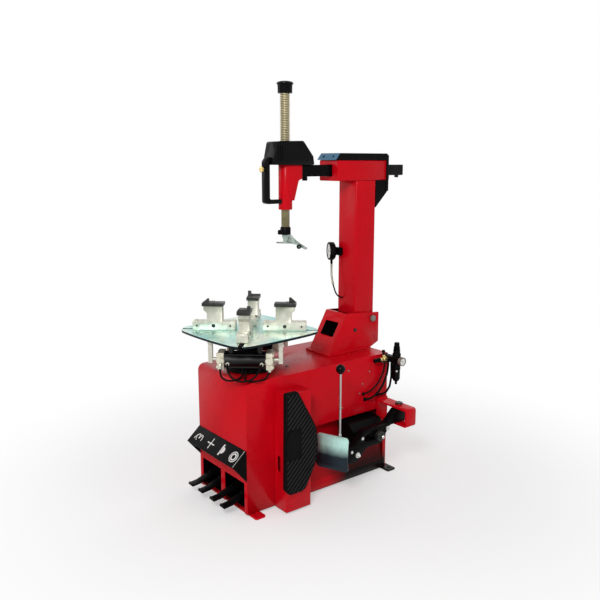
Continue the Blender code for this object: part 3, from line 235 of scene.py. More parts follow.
# Materials
class Finish:
    """A procedural material under construction: noise in colour, gloss and relief, areas of other colour."""

    def __init__(self, name, metallic=0, coat=0, specular=0.5):
        self.made = bpy.data.materials.new(name)
        self.made.use_nodes = True
        self.tree = self.made.node_tree
        self.shader = self.tree.nodes["Principled BSDF"].inputs
        for socket, value in (
                ("Metallic", metallic), ("Coat Weight", coat), ("Coat Roughness", 0.07),
                ("Specular IOR Level", specular)):
            self.shader[socket].default_value = value
        self.place = self.node("TexCoord").outputs["Object"]
        self.colour = None

    def node(self, kind, sockets=None, **settings):
        return node(self.tree, kind, sockets, **settings)

    def math(self, operation, a, b):
        return self.node("Math", {0: a, 1: b}, operation=operation).outputs[0]

    def both(self, first, *others):
        """The product of shares, which is 1 where all of them are."""
        for other in others:
            first = self.math("MULTIPLY", first, other)
        return first

    def turned_place(self, turn=0, stretch=(1, 1, 1), origin=(0, 0, 0)):
        sockets = {
            "Vector": self.place, "Location": origin, "Rotation": (0, 0, turn),
            "Scale": [1 / s for s in stretch]}
        return self.node("Mapping", sockets, vector_type="TEXTURE").outputs["Vector"]

    def noise(self, scale, detail=3, place=None):
        sockets = {"Vector": place or self.place, "Scale": scale, "Detail": detail}
        return self.node("TexNoise", sockets).outputs["Fac"]

    def ranged(self, source, low, high, start=0.3, end=0.7):
        """The source's stretch from start to end, carried over to low and high."""
        sockets = {"Value": source, "From Min": start, "From Max": end, "To Min": low, "To Max": high}
        return self.node("MapRange", sockets).outputs["Result"]

    def mixed(self, share, first, second):
        first, second = [(*c, 1) if isinstance(c, tuple) else c for c in (first, second)]
        return self.node("Mix", {0: share, 6: first, 7: second}, data_type="RGBA").outputs[2]

    def tint(self, colour, spread, grain, place=None):
        low, high = [tuple(min(1, c * (1 + s)) for c in colour) for s in (-spread, spread)]
        self.colour = self.mixed(self.ranged(self.noise(grain, 4, place), 0, 1), low, high)
        return self

    def gloss(self, roughness, spread, grain, place=None):
        noise = self.noise(grain, 3, place)
        rough = self.ranged(noise, roughness * (1 - spread), roughness * (1 + spread))
        fill(self.tree, self.shader["Roughness"], rough)
        return self

    def relief(self, strength, grain, depth=0.0006, place=None, height=None):
        height = height or self.noise(grain, 2, place)
        bump = self.node("Bump", {"Strength": strength, "Distance": depth, "Height": height})
        fill(self.tree, self.shader["Normal"], bump.outputs["Normal"])
        return self

    def axes(self, source=None):
        """X, Y and Z of a source, or of the place measured from the turntable axis."""
        return self.node("SeparateXYZ", {0: source or self.turned_place(origin=AXIS)}).outputs

    def facing(self):
        """The surface's own direction, the same from every view."""
        return self.axes(self.node("NewGeometry").outputs["True Normal"])

    def within(self, value, low, high):
        return self.both(self.math("GREATER_THAN", value, low), self.math("LESS_THAN", value, high))

    def boxed(self, place, *limits):
        """1 between the limits that are given for X, Y and Z in turn."""
        return self.both(*[self.within(value, *pair) for value, pair in zip(place, limits)])

    def area(self, share, colour):
        self.colour = self.mixed(share, self.colour, colour)
        return self

    def done(self):
        fill(self.tree, self.shader["Base Color"], self.colour)
        return self.made


RED_COLOUR = (0.55, 0.0018, 0.0085)
BLACK_COLOUR = (0.002, 0.002, 0.0023)
# Painted shade: near black low under the bead breaker.
LOW_SHADE_COLOUR = (0.0045, 0.001, 0.0012)
# Painted shadow: dark red on the recess wall.
RECESS_SHADE_COLOUR = (0.028, 0.0008, 0.0015)


def red_enamel(name):
    finish = Finish(name, coat=0.05, specular=0.07)
    return finish.tint(RED_COLOUR, 0.06, 7).gloss(0.3, 0.18, 12).relief(0.05, 240)


def cabinet_red():
    """Red outside, with painted shade: black inside the sheet, a dark red shadow in the recess and near black
    along the foot.
    """
    finish = red_enamel("red_enamel_cabinet")
    place = finish.axes()
    middle = (0, 0.2475, 0.29)
    outward = 0
    for value, along, centre in zip(place, finish.facing(), middle):
        outward = finish.math("ADD", outward, finish.both(along, finish.math("SUBTRACT", value, centre)))
    # Painted shade: the faces inside the sheet are black.
    inside = finish.both(
        finish.boxed(place, (-HALF + 0.002, 0.146), (-0.148, 0.643), (-1, CABINET_TOP - 0.002)),
        finish.math("LESS_THAN", outward, 0))
    recess_in, run = 0.1465, (0.125, 0.6415)
    # Painted shadow: dark red on the recess wall, growing towards the rear behind the pad box and blade.
    recess_shade = finish.both(
        finish.boxed(place, (recess_in, HALF - 0.0025), run, (0, 0.33)),
        finish.ranged(finish.noise(5), 0.55, 0.85), finish.ranged(place[1], 0.25, 1, 0.27, 0.4))
    # Painted shade: near black low in the recess along the foot, towards the rear, its top edge wavy.
    height = finish.math("ADD", place[2], finish.both(finish.noise(9, 2), 0.02))
    low_shade = finish.both(
        finish.boxed(place, (recess_in, 0.2), run),
        finish.ranged(height, 1, 0, 0.06, 0.125), finish.ranged(place[1], 0, 1, 0.29, 0.4))
    finish.area(recess_shade, RECESS_SHADE_COLOUR).area(low_shade, LOW_SHADE_COLOUR)
    return finish.area(inside, BLACK_COLOUR).done()


def foot_red():
    """Red rear foot, its end under the bead breaker near black with painted shade."""
    finish = red_enamel("red_enamel_foot")
    # Painted shade: near black towards the foot's right end.
    return finish.area(finish.ranged(finish.axes()[0], 0, 1, 0.12, 0.17), LOW_SHADE_COLOUR).done()


def bracket_red():
    """Red outside, with painted shade in black on the faces that look inwards."""
    finish = red_enamel("red_enamel_bracket")
    x = finish.axes()[0]
    nx, ny = finish.facing()[:2]
    # Painted shade: the inward faces of the cheeks and the rear plate are black.
    sideways = finish.math("GREATER_THAN", finish.math("ABSOLUTE", nx, 0), 0.8)
    cheeks = finish.both(finish.within(x, -0.066, 0.066), sideways)
    rear = finish.both(finish.within(x, -0.0635, 0.0635), finish.math("GREATER_THAN", ny, 0.5))
    return finish.area(finish.math("MAXIMUM", cheeks, rear), BLACK_COLOUR).done()


def column_red():
    """Red column, with painted shade in black inside and on the foot that stands in the bracket."""
    finish = red_enamel("red_enamel_column")
    place = finish.axes()
    # Painted shade: the foot below the bracket top and the inside of the tube are black.
    foot = finish.within(place[2], 0, 0.745)
    inside = finish.boxed(place, (-0.0575, 0.0575), (0.5535, 0.6685))
    return finish.area(finish.math("MAXIMUM", foot, inside), BLACK_COLOUR).done()


def black(name, roughness, relief, grain, specular=0.05, coat=0):
    finish = Finish(name, specular=specular, coat=coat)
    return finish.tint(BLACK_COLOUR, 0.3, 40).gloss(roughness, 0.15, 25).relief(relief, grain)


def rubber(name):
    return black(name, 0.6, 0.35, 700, 0.07)


def pad_rubber():
    """Black rubber, worn grey on the crests of the ribs."""
    finish = rubber("rubber_pad")
    return finish.area(finish.within(finish.axes()[0], 0.2966, 0.31), (0.022, 0.022, 0.021)).done()


def cover_black():
    """Glossy black moulding with a grey-blue sloping front face."""
    finish = black("moulded_black_cover", 0.25, 0.12, 900, 0.06)
    ny, nz = finish.facing()[1:]
    slope = finish.both(finish.within(ny, -0.95, -0.2), finish.math("GREATER_THAN", nz, 0.3))
    return finish.area(slope, (0.075, 0.17, 0.27)).done()


def metal(name, colour, roughness, metallic=1, spread=0.06, grain=40, relief=0.06, relief_grain=700):
    finish = Finish(name, metallic)
    return finish.tint(colour, spread, grain).gloss(roughness, 0.2, grain * 0.6).relief(relief, relief_grain)


def zinc(name):
    return metal(name, (0.6, 0.59, 0.5), 0.36, 0.45, 0.14, 45, 0.08)


def jaw_zinc():
    """Zinc plate that darkens and greens in clouds towards the jaw caps."""
    finish = zinc("zinc_plate_jaw")
    height = finish.axes(finish.place)[2]
    cloud = finish.both(
        finish.ranged(height, 0, 1, 0.795, 0.85), finish.ranged(finish.noise(16), 0.15, 0.75))
    return finish.area(cloud, (0.1, 0.14, 0.085)).done()


def table_steel():
    """Polished plate with fine turning marks, clouds of teal painted reflection and dark edges."""
    finish = Finish("table_steel", 1)
    place = finish.turned_place(origin=AXIS)
    finish.tint((0.74, 0.8, 0.69), 0.12, 24, place).gloss(0.3, 0.25, 9, place)
    # Painted reflection: teal clouds over the plate.
    finish.area(finish.ranged(finish.noise(5, 2, place), 0, 0.95, 0.4, 0.58), (0.28, 0.59, 0.57))
    marks = finish.node(
        "TexWave", {"Vector": place, "Scale": 260, "Distortion": 1.5}, wave_type="RINGS", rings_direction="Z")
    finish.relief(0.05, 0, 0.0003, height=marks.outputs["Fac"])
    return finish.area(finish.within(finish.facing()[2], -2, 0.3), (0.012, 0.018, 0.022)).done()


def blade_steel():
    """Brushed blade with a painted reflection: bright at the top edge and dark towards the bottom edge."""
    finish = Finish("blade_steel", 0.35, specular=0.3)
    brushed = finish.turned_place(stretch=(40, 40, 1))
    finish.tint((0.47, 0.74, 0.67), 0.1, 9, brushed).gloss(0.42, 0.2, 9, brushed)
    finish.relief(0.05, 60, 0.0003, brushed)
    wander = finish.both(finish.noise(14), 0.03)
    height = finish.math("ADD", finish.axes(finish.place)[2], wander)
    # Painted reflection: dark towards the bottom edge.
    return finish.area(finish.ranged(height, 1, 0, 0.226, 0.276), (0.01, 0.02, 0.03)).done()


def cylinder_alloy():
    """Cast end caps in cream alloy, black barrel and rods between them."""
    finish = Finish("cylinder_alloy", 0.35)
    finish.tint((0.66, 0.63, 0.5), 0.1, 60).gloss(0.42, 0.15, 30).relief(0.2, 500)
    along = finish.axes(finish.turned_place(TABLE_ANGLE, origin=AXIS))[0]
    return finish.area(finish.within(along, -0.0868, 0.0868), BLACK_COLOUR).done()


def braid_finish():
    """Woven wire sleeve: two crossing sets of strands."""
    finish = Finish("braid", 0.6)
    finish.tint((0.4, 0.38, 0.31), 0.2, 200).gloss(0.4, 0.2, 90)
    strands = []
    for turn in ((0.9, 0.9, 0.6), (-0.9, -0.9, 0.6)):
        place = finish.node("Mapping", {"Vector": finish.place, "Rotation": turn}).outputs["Vector"]
        strands.append(finish.node("TexWave", {"Vector": place, "Scale": 130}).outputs["Fac"])
    weave = finish.math("MAXIMUM", *strands)
    finish.area(finish.ranged(weave, 0.75, 0), (0.05, 0.05, 0.05))
    return finish.relief(0.5, 0, height=weave).done()


def plain(name, colour, spread, grain, roughness, gloss_grain, relief, relief_grain):
    finish = Finish(name).tint(colour, spread, grain)
    return finish.gloss(roughness, 0.1, gloss_grain).relief(relief, relief_grain).done()


RED = red_enamel("red_enamel").done()
BLACK = black("moulded_black", 0.42, 0.25, 900).done()
GLOSS_BLACK = black("gloss_black", 0.15, 0.03, 300, 0.05, 0.06).done()
BLACK_STEEL = black("black_enamel", 0.38, 0.14, 320).done()
RUBBER = rubber("rubber").done()
PAD_RUBBER = pad_rubber()
DARK_STEEL = metal("black_oxide", (0.018, 0.02, 0.017), 0.45, 0.4, 0.4, 90, 0.15).done()
ZINC = zinc("zinc_plate").done()
OLIVE = metal("olive_zinc", (0.17, 0.145, 0.07), 0.4, 0.5, 0.2, 30, 0.06).done()
SPRING = metal("spring_zinc", (0.62, 0.54, 0.34), 0.36, 0.35, 0.1, 60, 0.05).done()
CREAM = metal("cast_cream", (0.68, 0.65, 0.52), 0.4, 0.35, 0.08, 60, 0.15).done()
CHROME = metal("chrome", (0.8, 0.8, 0.8), 0.1, 1, 0.03, 20, 0.01).done()
SILVER = metal("bright_zinc", (0.7, 0.7, 0.68), 0.26, 0.95, 0.05, 60, 0.04).done()
DULL_ZINC = metal("dull_zinc", (0.2, 0.18, 0.16), 0.42, 0.5, 0.15, 60, 0.06).done()
STEEL = metal("bright_steel", (0.62, 0.72, 0.69), 0.22, 1, 0.08, 30, 0.05).done()
HEAD_STEEL = metal("head_steel", (0.26, 0.31, 0.28), 0.46, 0.75, 0.55, 42, 0.2, 260).done()
ROD_CHROME = metal("rod_chrome", (0.4, 0.39, 0.37), 0.28, 0.9, 0.06, 30, 0.02).done()
BRASS = metal("brass", (0.66, 0.5, 0.2), 0.3, 0.9, 0.08, 60, 0.05).done()
CAST_BLACK = black("cast_black", 0.6, 0.4, 400, 0.08).done()
WHITE = plain("dial_white", (0.78, 0.78, 0.74), 0.03, 20, 0.35, 20, 0.02, 300)
PRINT = plain("white_print", (0.72, 0.72, 0.7), 0.08, 120, 0.5, 80, 0.05, 500)
BRAID = braid_finish()
TABLE_STEEL = table_steel()

BY_SLOT = {
    "red_paint": RED, "black_plastic": BLACK, "black_steel": BLACK_STEEL, "rubber": RUBBER,
    "polished_steel": STEEL, "zinc": ZINC, "dark_steel": DARK_STEEL, "chrome": CHROME, "brass": BRASS,
    "grey_cast": CAST_BLACK, "light_alloy": CREAM, "dial": WHITE,
}
BY_NODE = {
    "cabinet_shell": cabinet_red(), "column_bracket": bracket_red(), "column_tube": column_red(),
    "arm_cover": cover_black(), "bead_blade": blade_steel(), "rear_foot_rail": foot_red(),
    "hex_shaft": OLIVE, "tilt_pivot": DULL_ZINC, "blade_handle": ROD_CHROME, "head_cover": GLOSS_BLACK,
    "bead_rod": DARK_STEEL, "air_unit_bowl": GLOSS_BLACK,
}
BY_NODE.update(dict.fromkeys([f"clamp_cylinder_{k}" for k in (1, 2)], cylinder_alloy()))
BY_NODE.update(dict.fromkeys([f"jaw_slide_{k}" for k in (1, 2, 3, 4)], jaw_zinc()))


def dress_nodes():
    """Gives every CAD node its finish, clean facets and small rounded edges."""
    for part in frame["record"]["subparts"]:
        name = part["node"]
        dressed = NODES[name]
        dressed.data.materials.clear()
        dressed.data.materials.append(BY_NODE.get(name, BY_SLOT[part["material_slot"]]))
        for face in dressed.data.polygons:
            face.use_smooth = True
        given(dressed.modifiers.new("weld", "WELD"), merge_threshold=0.00002)
        given(dressed.modifiers.new("flat", "DECIMATE"), decimate_type="DISSOLVE", angle_limit=radians(0.5))
        soften(dressed, 0.0012)


# Mesh tools
def soften(made, width):
    """Rounds the edges of an object."""
    given(
        made.modifiers.new("edge", "BEVEL"), width=width, segments=2, limit_method="ANGLE",
        angle_limit=ROUNDED_FROM, harden_normals=True)


def mounted(name, data, body, replaces):
    """An object that moves with a body and shows in the place of the nodes that it replaces."""
    made = linked(name, data)
    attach(made, body)
    if replaces:
        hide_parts(*replaces)
    return made


def piece(name, bm, finish, body, slot, *replaces):
    """A piece of the machine from a finished mesh."""
    bmesh.ops.recalc_face_normals(bm, faces=bm.faces)
    mesh = bpy.data.meshes.new(name)
    bm.to_mesh(mesh)
    bm.free()
    mesh.shade_smooth()
    mesh.set_sharp_from_angle(angle=CREASE)
    mesh.materials.append(finish)
    return mounted(name, mesh, body, replaces)


def bridge(bm, loops, closed=False):
    """Faces from each loop of points to the next, and over both ends or back to the first loop."""
    pairs = list(zip(loops, loops[1:]))
    if closed:
        pairs.append((loops[-1], loops[0]))
    else:
        for loop in (loops[0], loops[-1]):
            if len(loop) > 1:
                bm.faces.new(loop)
    for lower, upper in pairs:
        for k in range(max(len(lower), len(upper))):
            if len(lower) == 1:
                bm.faces.new((lower[0], upper[k], upper[k - 1]))
            elif len(upper) == 1:
                bm.faces.new((lower[k - 1], lower[k], upper[0]))
            else:
                bm.faces.new((lower[k - 1], lower[k], upper[k], upper[k - 1]))


def circle(bm, place, radius, height, sides, ribs=0, depth=0):
    """Points round a place's outward direction; ribs pull in every other stretch."""
    points = []
    for k in range(sides):
        t = 2 * pi * k / sides
        r = radius - depth * (sin(ribs * t) < 0)
        points.append(bm.verts.new(place @ Vector((r * cos(t), r * sin(t), height))))
    return points


def lathe(bm, profile, origin, along=UP, sides=32, ribs=0, depth=0, closed=False):
    """Turns (radius, height) pairs about an axis; ribs as on a circle."""
    place = frame_of(origin, along)
    bridge(bm, [circle(bm, place, r, h, sides if r else 1, ribs, depth) for r, h in profile], closed)


def collar(bm, inner, outer, low, high, origin, along, sides=6):
    """A hollow nut or ring about an axis."""
    lathe(bm, [(inner, low), (outer, low), (outer, high), (inner, high)], origin, along, sides, closed=True)


def ring(bm, place, outer, inner, low, high, sides=36):
    """A flat ring in the place's own plane."""
    profile = ((inner, low), (outer, low), (outer, high), (inner, high))
    bridge(bm, [circle(bm, place, r, h, sides) for r, h in profile], closed=True)


def slab(bm, outline, place, low, high):
    """A flat outline in the place's own plane, filled between two heights."""
    bridge(bm, [[bm.verts.new(place @ Vector((u, v, h))) for u, v in outline] for h in (low, high)])


def sweep(bm, points, radius, sides):
    """A round bar along the points, with closed ends."""
    loops = []
    side = None
    for i, point in enumerate(points):
        ahead = (points[min(i + 1, len(points) - 1)] - points[max(i - 1, 0)]).normalized()
        side = ahead.orthogonal() if side is None else side - ahead * side.dot(ahead)
        side.normalize()
        loops.append(circle(bm, plane(point, side, ahead.cross(side), ahead), radius, 0, sides))
    bridge(bm, loops)


def hex_bolt(bm, origin, along, radius, height):
    """Hexagon head with a chamfer, on a washer."""
    washer = radius * 1.25
    lathe(bm, [(washer, -0.0004), (washer, 0.0012), (0, 0.0012)], origin, along, 24)
    head = [(radius, 0.001), (radius, height * 0.85), (radius * 0.86, height), (0, height)]
    lathe(bm, head, origin, along, 6)


def pan_screw(bm, origin, along, radius):
    """Low round head with its recess drawn as a sunk cup."""
    shares = ((1, 0.25), (0.8, 0.5), (0.4, 0.58), (0.34, 0.3), (0, 0.2))
    lathe(bm, [(radius, -0.0004)] + [(radius * r, radius * h) for r, h in shares], origin, along, 20)


def socket_screw(bm, origin, along, radius):
    """Flush socket screw: a raised rim round a sunk hole."""
    head = ((1, -0.0004), (1, 0.0007), (0.9, 0.0011), (0.55, 0.0011), (0.5, 0.0002), (0, 0.0002))
    lathe(bm, [(radius * r, h) for r, h in head], origin, along, 18)


def group(name, finish, body, slot, shape, uses, *replaces):
    """Shapes of one kind as one piece; a use holds what the shape takes after the mesh."""
    bm = bmesh.new()
    for use in uses:
        shape(bm, *use)
    return piece(name, bm, finish, body, slot, *replaces)


def rounded(points, rounds=1, closed=True):
    """An outline, or an open line, with its corners cut and cut again."""
    for _ in range(rounds):
        pairs = zip(points[-1:] + points[:-1], points) if closed else zip(points, points[1:])
        cut = [tuple(Vector(a).lerp(Vector(b), t)) for a, b in pairs for t in (0.25, 0.75)]
        points = cut if closed else points[:1] + cut + points[-1:]
    return points


def bend(start, corner, end, shares):
    """Points on the even curve that leaves start for a corner and turns to end."""
    return [tuple(start.lerp(corner, t).lerp(corner.lerp(end, t), t)) for t in shares]


def mm(*points):
    """Points given in millimetres."""
    return [tuple(value / 1000 for value in point) for point in points]


def arc(centre, radius, start, end, steps):
    angles = [start + (end - start) * k / steps for k in range(steps + 1)]
    return [(centre[0] + radius * cos(t), centre[1] + radius * sin(t)) for t in angles]


# Hoses
HOSE_POINTS = 26
FINE_POINTS, EASINGS, STRAIGHT_POINTS = 160, 40, 4


def spaced(points, number):
    """Evenly spaced points along a line."""
    lengths = [0]
    for a, b in zip(points, points[1:]):
        lengths.append(lengths[-1] + (b - a).length)
    found = []
    for k in range(number):
        want = lengths[-1] * k / (number - 1)
        past = (n for n, length in enumerate(lengths) if length >= want - 1e-9)
        i = max(1, next(past, len(points) - 1))
        share = (want - lengths[i - 1]) / (lengths[i] - lengths[i - 1])
        found.append(points[i - 1].lerp(points[i], share))
    return found


def relaxed(route):
    """Evenly spaced points on an easy curve along the route, straight where it leaves and ends."""
    points = spaced(route, FINE_POINTS)
    for _ in range(EASINGS):
        eased = [(a + 2 * b + c) / 4 for a, b, c in zip(points, points[1:], points[2:])]
        inner = eased[STRAIGHT_POINTS - 1:1 - STRAIGHT_POINTS]
        points = points[:STRAIGHT_POINTS] + inner + points[-STRAIGHT_POINTS:]
    return spaced(points, HOSE_POINTS)


def hose(name, route, radius, body, replaces=()):
    """A hose that runs back into the machine."""
    points = relaxed(route)
    curve = given(
        bpy.data.curves.new(name, "CURVE"), dimensions="3D", bevel_depth=radius, bevel_resolution=4,
        resolution_u=4, use_fill_caps=True)
    line = curve.splines.new("BEZIER")
    line.bezier_points.add(len(points) - 1)
    for knot, point in zip(line.bezier_points, points):
        given(knot, co=point, handle_left_type="AUTO", handle_right_type="AUTO")
    curve.materials.append(RUBBER)
    made = mounted(name, curve, body, replaces)


def table_hoses():
    """Three air hoses that hang under the table and turn with it."""
    right = [(0, -0.0553, PORTS[0][1])] + mm(
        (0, -75, 634.5), (0, -95, 628), (0, -120, 612), (0, -145, 596), (0, -168, 587))
    right += [(x, y, 0.5835) for x, y in arc((0.036, -0.192), 0.036, pi, pi * 1.79, 8)]
    rise = 0.0345
    for t in (0, 0.3, 0.6, 0.9, 1.2, 1.5, QUARTER):
        away, up = rise * (1 - sin(t)), rise * (1 - cos(t))
        right.append((NUT_X - 0.6 * away, NUT_Y - 0.8 * away, CAP_LOW - rise + up))
    right.append((NUT_X, NUT_Y, CAP_LOW + 0.001))
    left = [(ELBOW_X, ELBOW_Y, 0.632), (ELBOW_X, -0.193, 0.622), (ELBOW_X, -0.198, 0.606)]
    left += mm(
        (-90, -212, 592), (-68, -226, 584.5), (-42, -222, 583.5), (-22, -200, 584), (-14, -170, 587),
        (-12, -135, 594), (-14, -100, 618), (-16, -75, 640), (-16, -53, 646))
    half = [(STUB_X, -0.174, STUB_Z), (STUB_X, -0.186, STUB_Z)]
    half += mm((66, -214, 632), (56, -234, 612), (34, -243, 594))
    front = [(-x, y, z) for x, y, z in half] + [(0, -0.246, 0.586)] + half[::-1]
    for name, route in (("right", right), ("left", left), ("front", front)):
        replaces = ["table_hose"] if name == "right" else ()
        hose("table_hose_" + name, [on_table(*p) for p in route], 0.004, "turntable", replaces)


def air_hoses():
    """Hoses from the air unit down into the cabinet side, each through a grommet."""
    routes = (
        ("inner", 0.005, mm(
            (212, 629, 542.7), (212, 629, 520), (214, 620, 480), (219, 588, 432), (218, 552, 398),
            (210, 524, 381), (198, 509, 376.5), (189.5, 503, 375.5))),
        ("outer", 0.005, mm(
            (232, 629, 542.7), (232, 629, 520), (234, 628, 470), (233, 620, 425), (224, 604, 396),
            (208, 588, 386), (189.5, 578, 384))),
        ("thin", 0.0035, mm(
            (198, 622, 542.7), (198, 621, 525), (201, 606, 485), (206, 572, 445), (206, 535, 420),
            (200, 508, 408), (189.5, 492, 403))),
    )
    lip = mm((0.5, -1), (5, -1), (4.5, 3), (2, 5), (0.5, 4))
    grommets = []
    for name, r, route in routes:
        hose("air_hose_" + name, [at(*p) for p in route], r, "base", ["air_hose"] if name == "inner" else ())
        profile = [(r + wide, h) for wide, h in lip]
        grommets.append((profile, at(HALF, *route[-1][1:]), RIGHT, 24, 0, 0, True))
    group("hose_grommets", RUBBER, "base", "rubber", lathe, grommets)


def gauge_hose():
    """Hose under the inflation gauge, its first stretch in a woven sleeve with two ferrules."""
    end_y, end_z = 0.5497, 0.815
    turn = mm((36, 45), (35, 34), (32, 22), (25, 11), (15, 4))
    route = mm((-74.4, 521.2, 974.7), (-74.4, 521.2, 950), (-70, 518, 920), (-56, 514, 885))
    route += [(-0.044 + 0.004 * k, end_y - y, end_z + z) for k, (y, z) in enumerate(turn)]
    route += [(-0.026, 0.5417, 0.8155), (-0.026, end_y, end_z)]
    route = [at(*p) for p in route]
    points = relaxed(route)
    first, last = 1, 13
    bm = bmesh.new()
    sweep(bm, points[first:last + 1], 0.0048, 14)
    for i in (first, last):
        collar(bm, 0.004, 0.0056, -0.005, 0.005, points[i], points[i + 1] - points[i], 20)
    sleeve = piece("gauge_hose_sleeve", bm, BRAID, "column", "zinc")
    hose("gauge_hose_line", route, 0.0035, "column", ["gauge_hose"])


# Arm head
def return_spring():
    """Close-wound coil from the casting to the cap."""
    radius, wire, turns, per_turn = 0.0214, 0.0014, 40, 24
    low, high = SPRING_LOW + wire, SHAFT_HIGH - wire
    points = []
    for k in range(turns * per_turn + 1):
        turn = k / per_turn
        t = 2 * pi * turn
        points.append(at(
            radius * cos(t), SHAFT_Y + radius * sin(t), low + (high - low) / turns * turn))
    made = group("return_spring_coil", SPRING, "arm", "zinc", sweep, [(points, wire, 8)], "return_spring")
    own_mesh(made)


def shaft_cap():
    """Fluted cap with its wide rim on top."""
    base = at(0, SHAFT_Y, SHAFT_HIGH + 0.0003)
    side = mm((28.5, 0), (31.2, 1.5), (31.8, 34))
    rim = mm((30, 32.5), (34.5, 36), (36, 38.5), (35.5, 42), (31, 46), (20, 49), (8, 49.8), (0, 49.9))
    group("shaft_cap_fluted", GLOSS_BLACK, "shaft", "black_plastic", lathe, [
        (side, base, UP, 144, 12, 0.0016), (rim, base, UP, 48)], "shaft_cap")


def lock_button():
    """Knurled brass button on the handle."""
    base = at(0, HANDLE_FRONT - 0.0062, BUTTON_Z)
    stem = mm((5.5, -10), (5.5, 0.6), (0, 0.6))
    knurl = mm((10.5, 0), (11.8, 1.2), (11.8, 8.8), (10.5, 10))
    face = mm((10.4, 9.5), (9.8, 10.4), (6, 10.8), (5, 10.2), (0, 10))
    group("lock_button_knurled", BRASS, "button", "brass", lathe, [
        (stem, base, -BACK, 24), (knurl, base, -BACK, 120, 30, 0.0007), (face, base, -BACK, 48)],
        "lock_button")


def mount_head():
    """Mounting head: dark clamp collar, hooked foot and a slim finger that carries the roller."""
    place = Matrix.Translation(at(0, SHAFT_Y, SHAFT_LOW)) @ Matrix.Rotation(radians(40), 4, "Z")
    ways = place.to_3x3()
    upright = place @ Matrix.Rotation(QUARTER, 4, "X")
    bm = bmesh.new()
    clamp = mm((20, -33), (22.6, -31), (22.6, -3), (21, -0.3))
    lathe(bm, clamp, place.translation, sides=48)
    lug = mm((-34, -33), (-12, -33), (-12, -12), (-28, -12))
    slab(bm, rounded(lug), upright, -0.0125, 0.0125)
    hex_bolt(bm, place @ Vector((-0.029, 0, -0.02)), ways @ Vector((-0.86, 0, 0.5)), 0.0055, 0.005)
    piece("head_collar", bm, BLACK_STEEL, "shaft", "black_steel")
    web = mm(
        (-14, -31), (20, -31), (27, -36), (34, -46), (50, -60.5), (70, -74.5), (92, -86.5), (95, -90),
        (94.5, -94.5), (90, -96.5), (78, -91.5), (58, -80), (40, -73.5), (18, -70.5), (-4, -69), (-10, -62),
        (-6, -50))
    neck = mm((-16, -29), (18, -29), (16, -44), (10, -60), (8, -69), (-8, -69), (-6, -58), (-12, -44))
    heel = [QUARTER + pi * k / 12 for k in range(13)]
    foot = [(-0.026 + 0.016 * cos(t), 0.014 * sin(t)) for t in heel]
    foot += mm((4, -14), (22, -11), (30, -6), (30, 6), (22, 11), (4, 14))
    bm = bmesh.new()
    slab(bm, rounded(web), upright, -0.007, 0.007)
    slab(bm, rounded(neck), upright, -0.013, 0.013)
    slab(bm, foot, place @ Matrix.Translation((0, 0, -0.071)), 0, 0.0045)
    pin = mm((4.8, -3), (4.8, 13.5), (4, 14.3), (0, 14.3))
    lathe(bm, pin, place @ Vector((0.064, -0.0045, -0.082)), ways @ -BACK, 20)
    made = piece("mount_head_forged", bm, HEAD_STEEL, "shaft", "polished_steel", "mount_head")
    soften(made, 0.0014)


# Cabinet
def pedal_tray():
    """Black folded sheet that closes the pedal box behind and below the levers, put in as painted shade for
    the dark inside of the box.
    """
    section = mm(
        (-122, 8.6), (84, 8.6), (84, 225), (74, 225), (74, 223.2), (82.2, 223.2), (82.2, 10.4), (-122, 10.4))
    # Painted shade: a black sheet that darkens the pedal box.
    group("pedal_tray", BLACK_STEEL, "base", "black_steel", slab, [
        (section, SIDE_PLANE, -HALF + 0.0045, HALF - 0.0045)])


def pad_outline(front, low, high):
    """The pad's outline on the cabinet side: bowed at the back, its corners rounded."""
    bow = 0.142
    middle = (low + high) / 2 - 0.035
    corners = [Vector(c) for c in (
        (front, low + 0.025), (front + 0.022, low), (0.072, low), (bow - 0.012, middle - 0.075),
        (bow, middle), (bow - 0.012, middle + 0.085), (0.082, high - 0.085), (0.034, high),
        (front + 0.004, high))]
    outline = []
    for k, here in enumerate(corners):
        back, ahead = corners[k - 1], corners[(k + 1) % len(corners)]
        wanted = 0.022 if 2 <= k <= 6 else 0.008
        reach = min(wanted, (here - back).length / 2.2, (here - ahead).length / 2.2)
        start = here + (back - here).normalized() * reach
        end = here + (ahead - here).normalized() * reach
        outline += bend(start, here, end, (0, 0.2, 0.4, 0.6, 0.8, 1))
    return outline


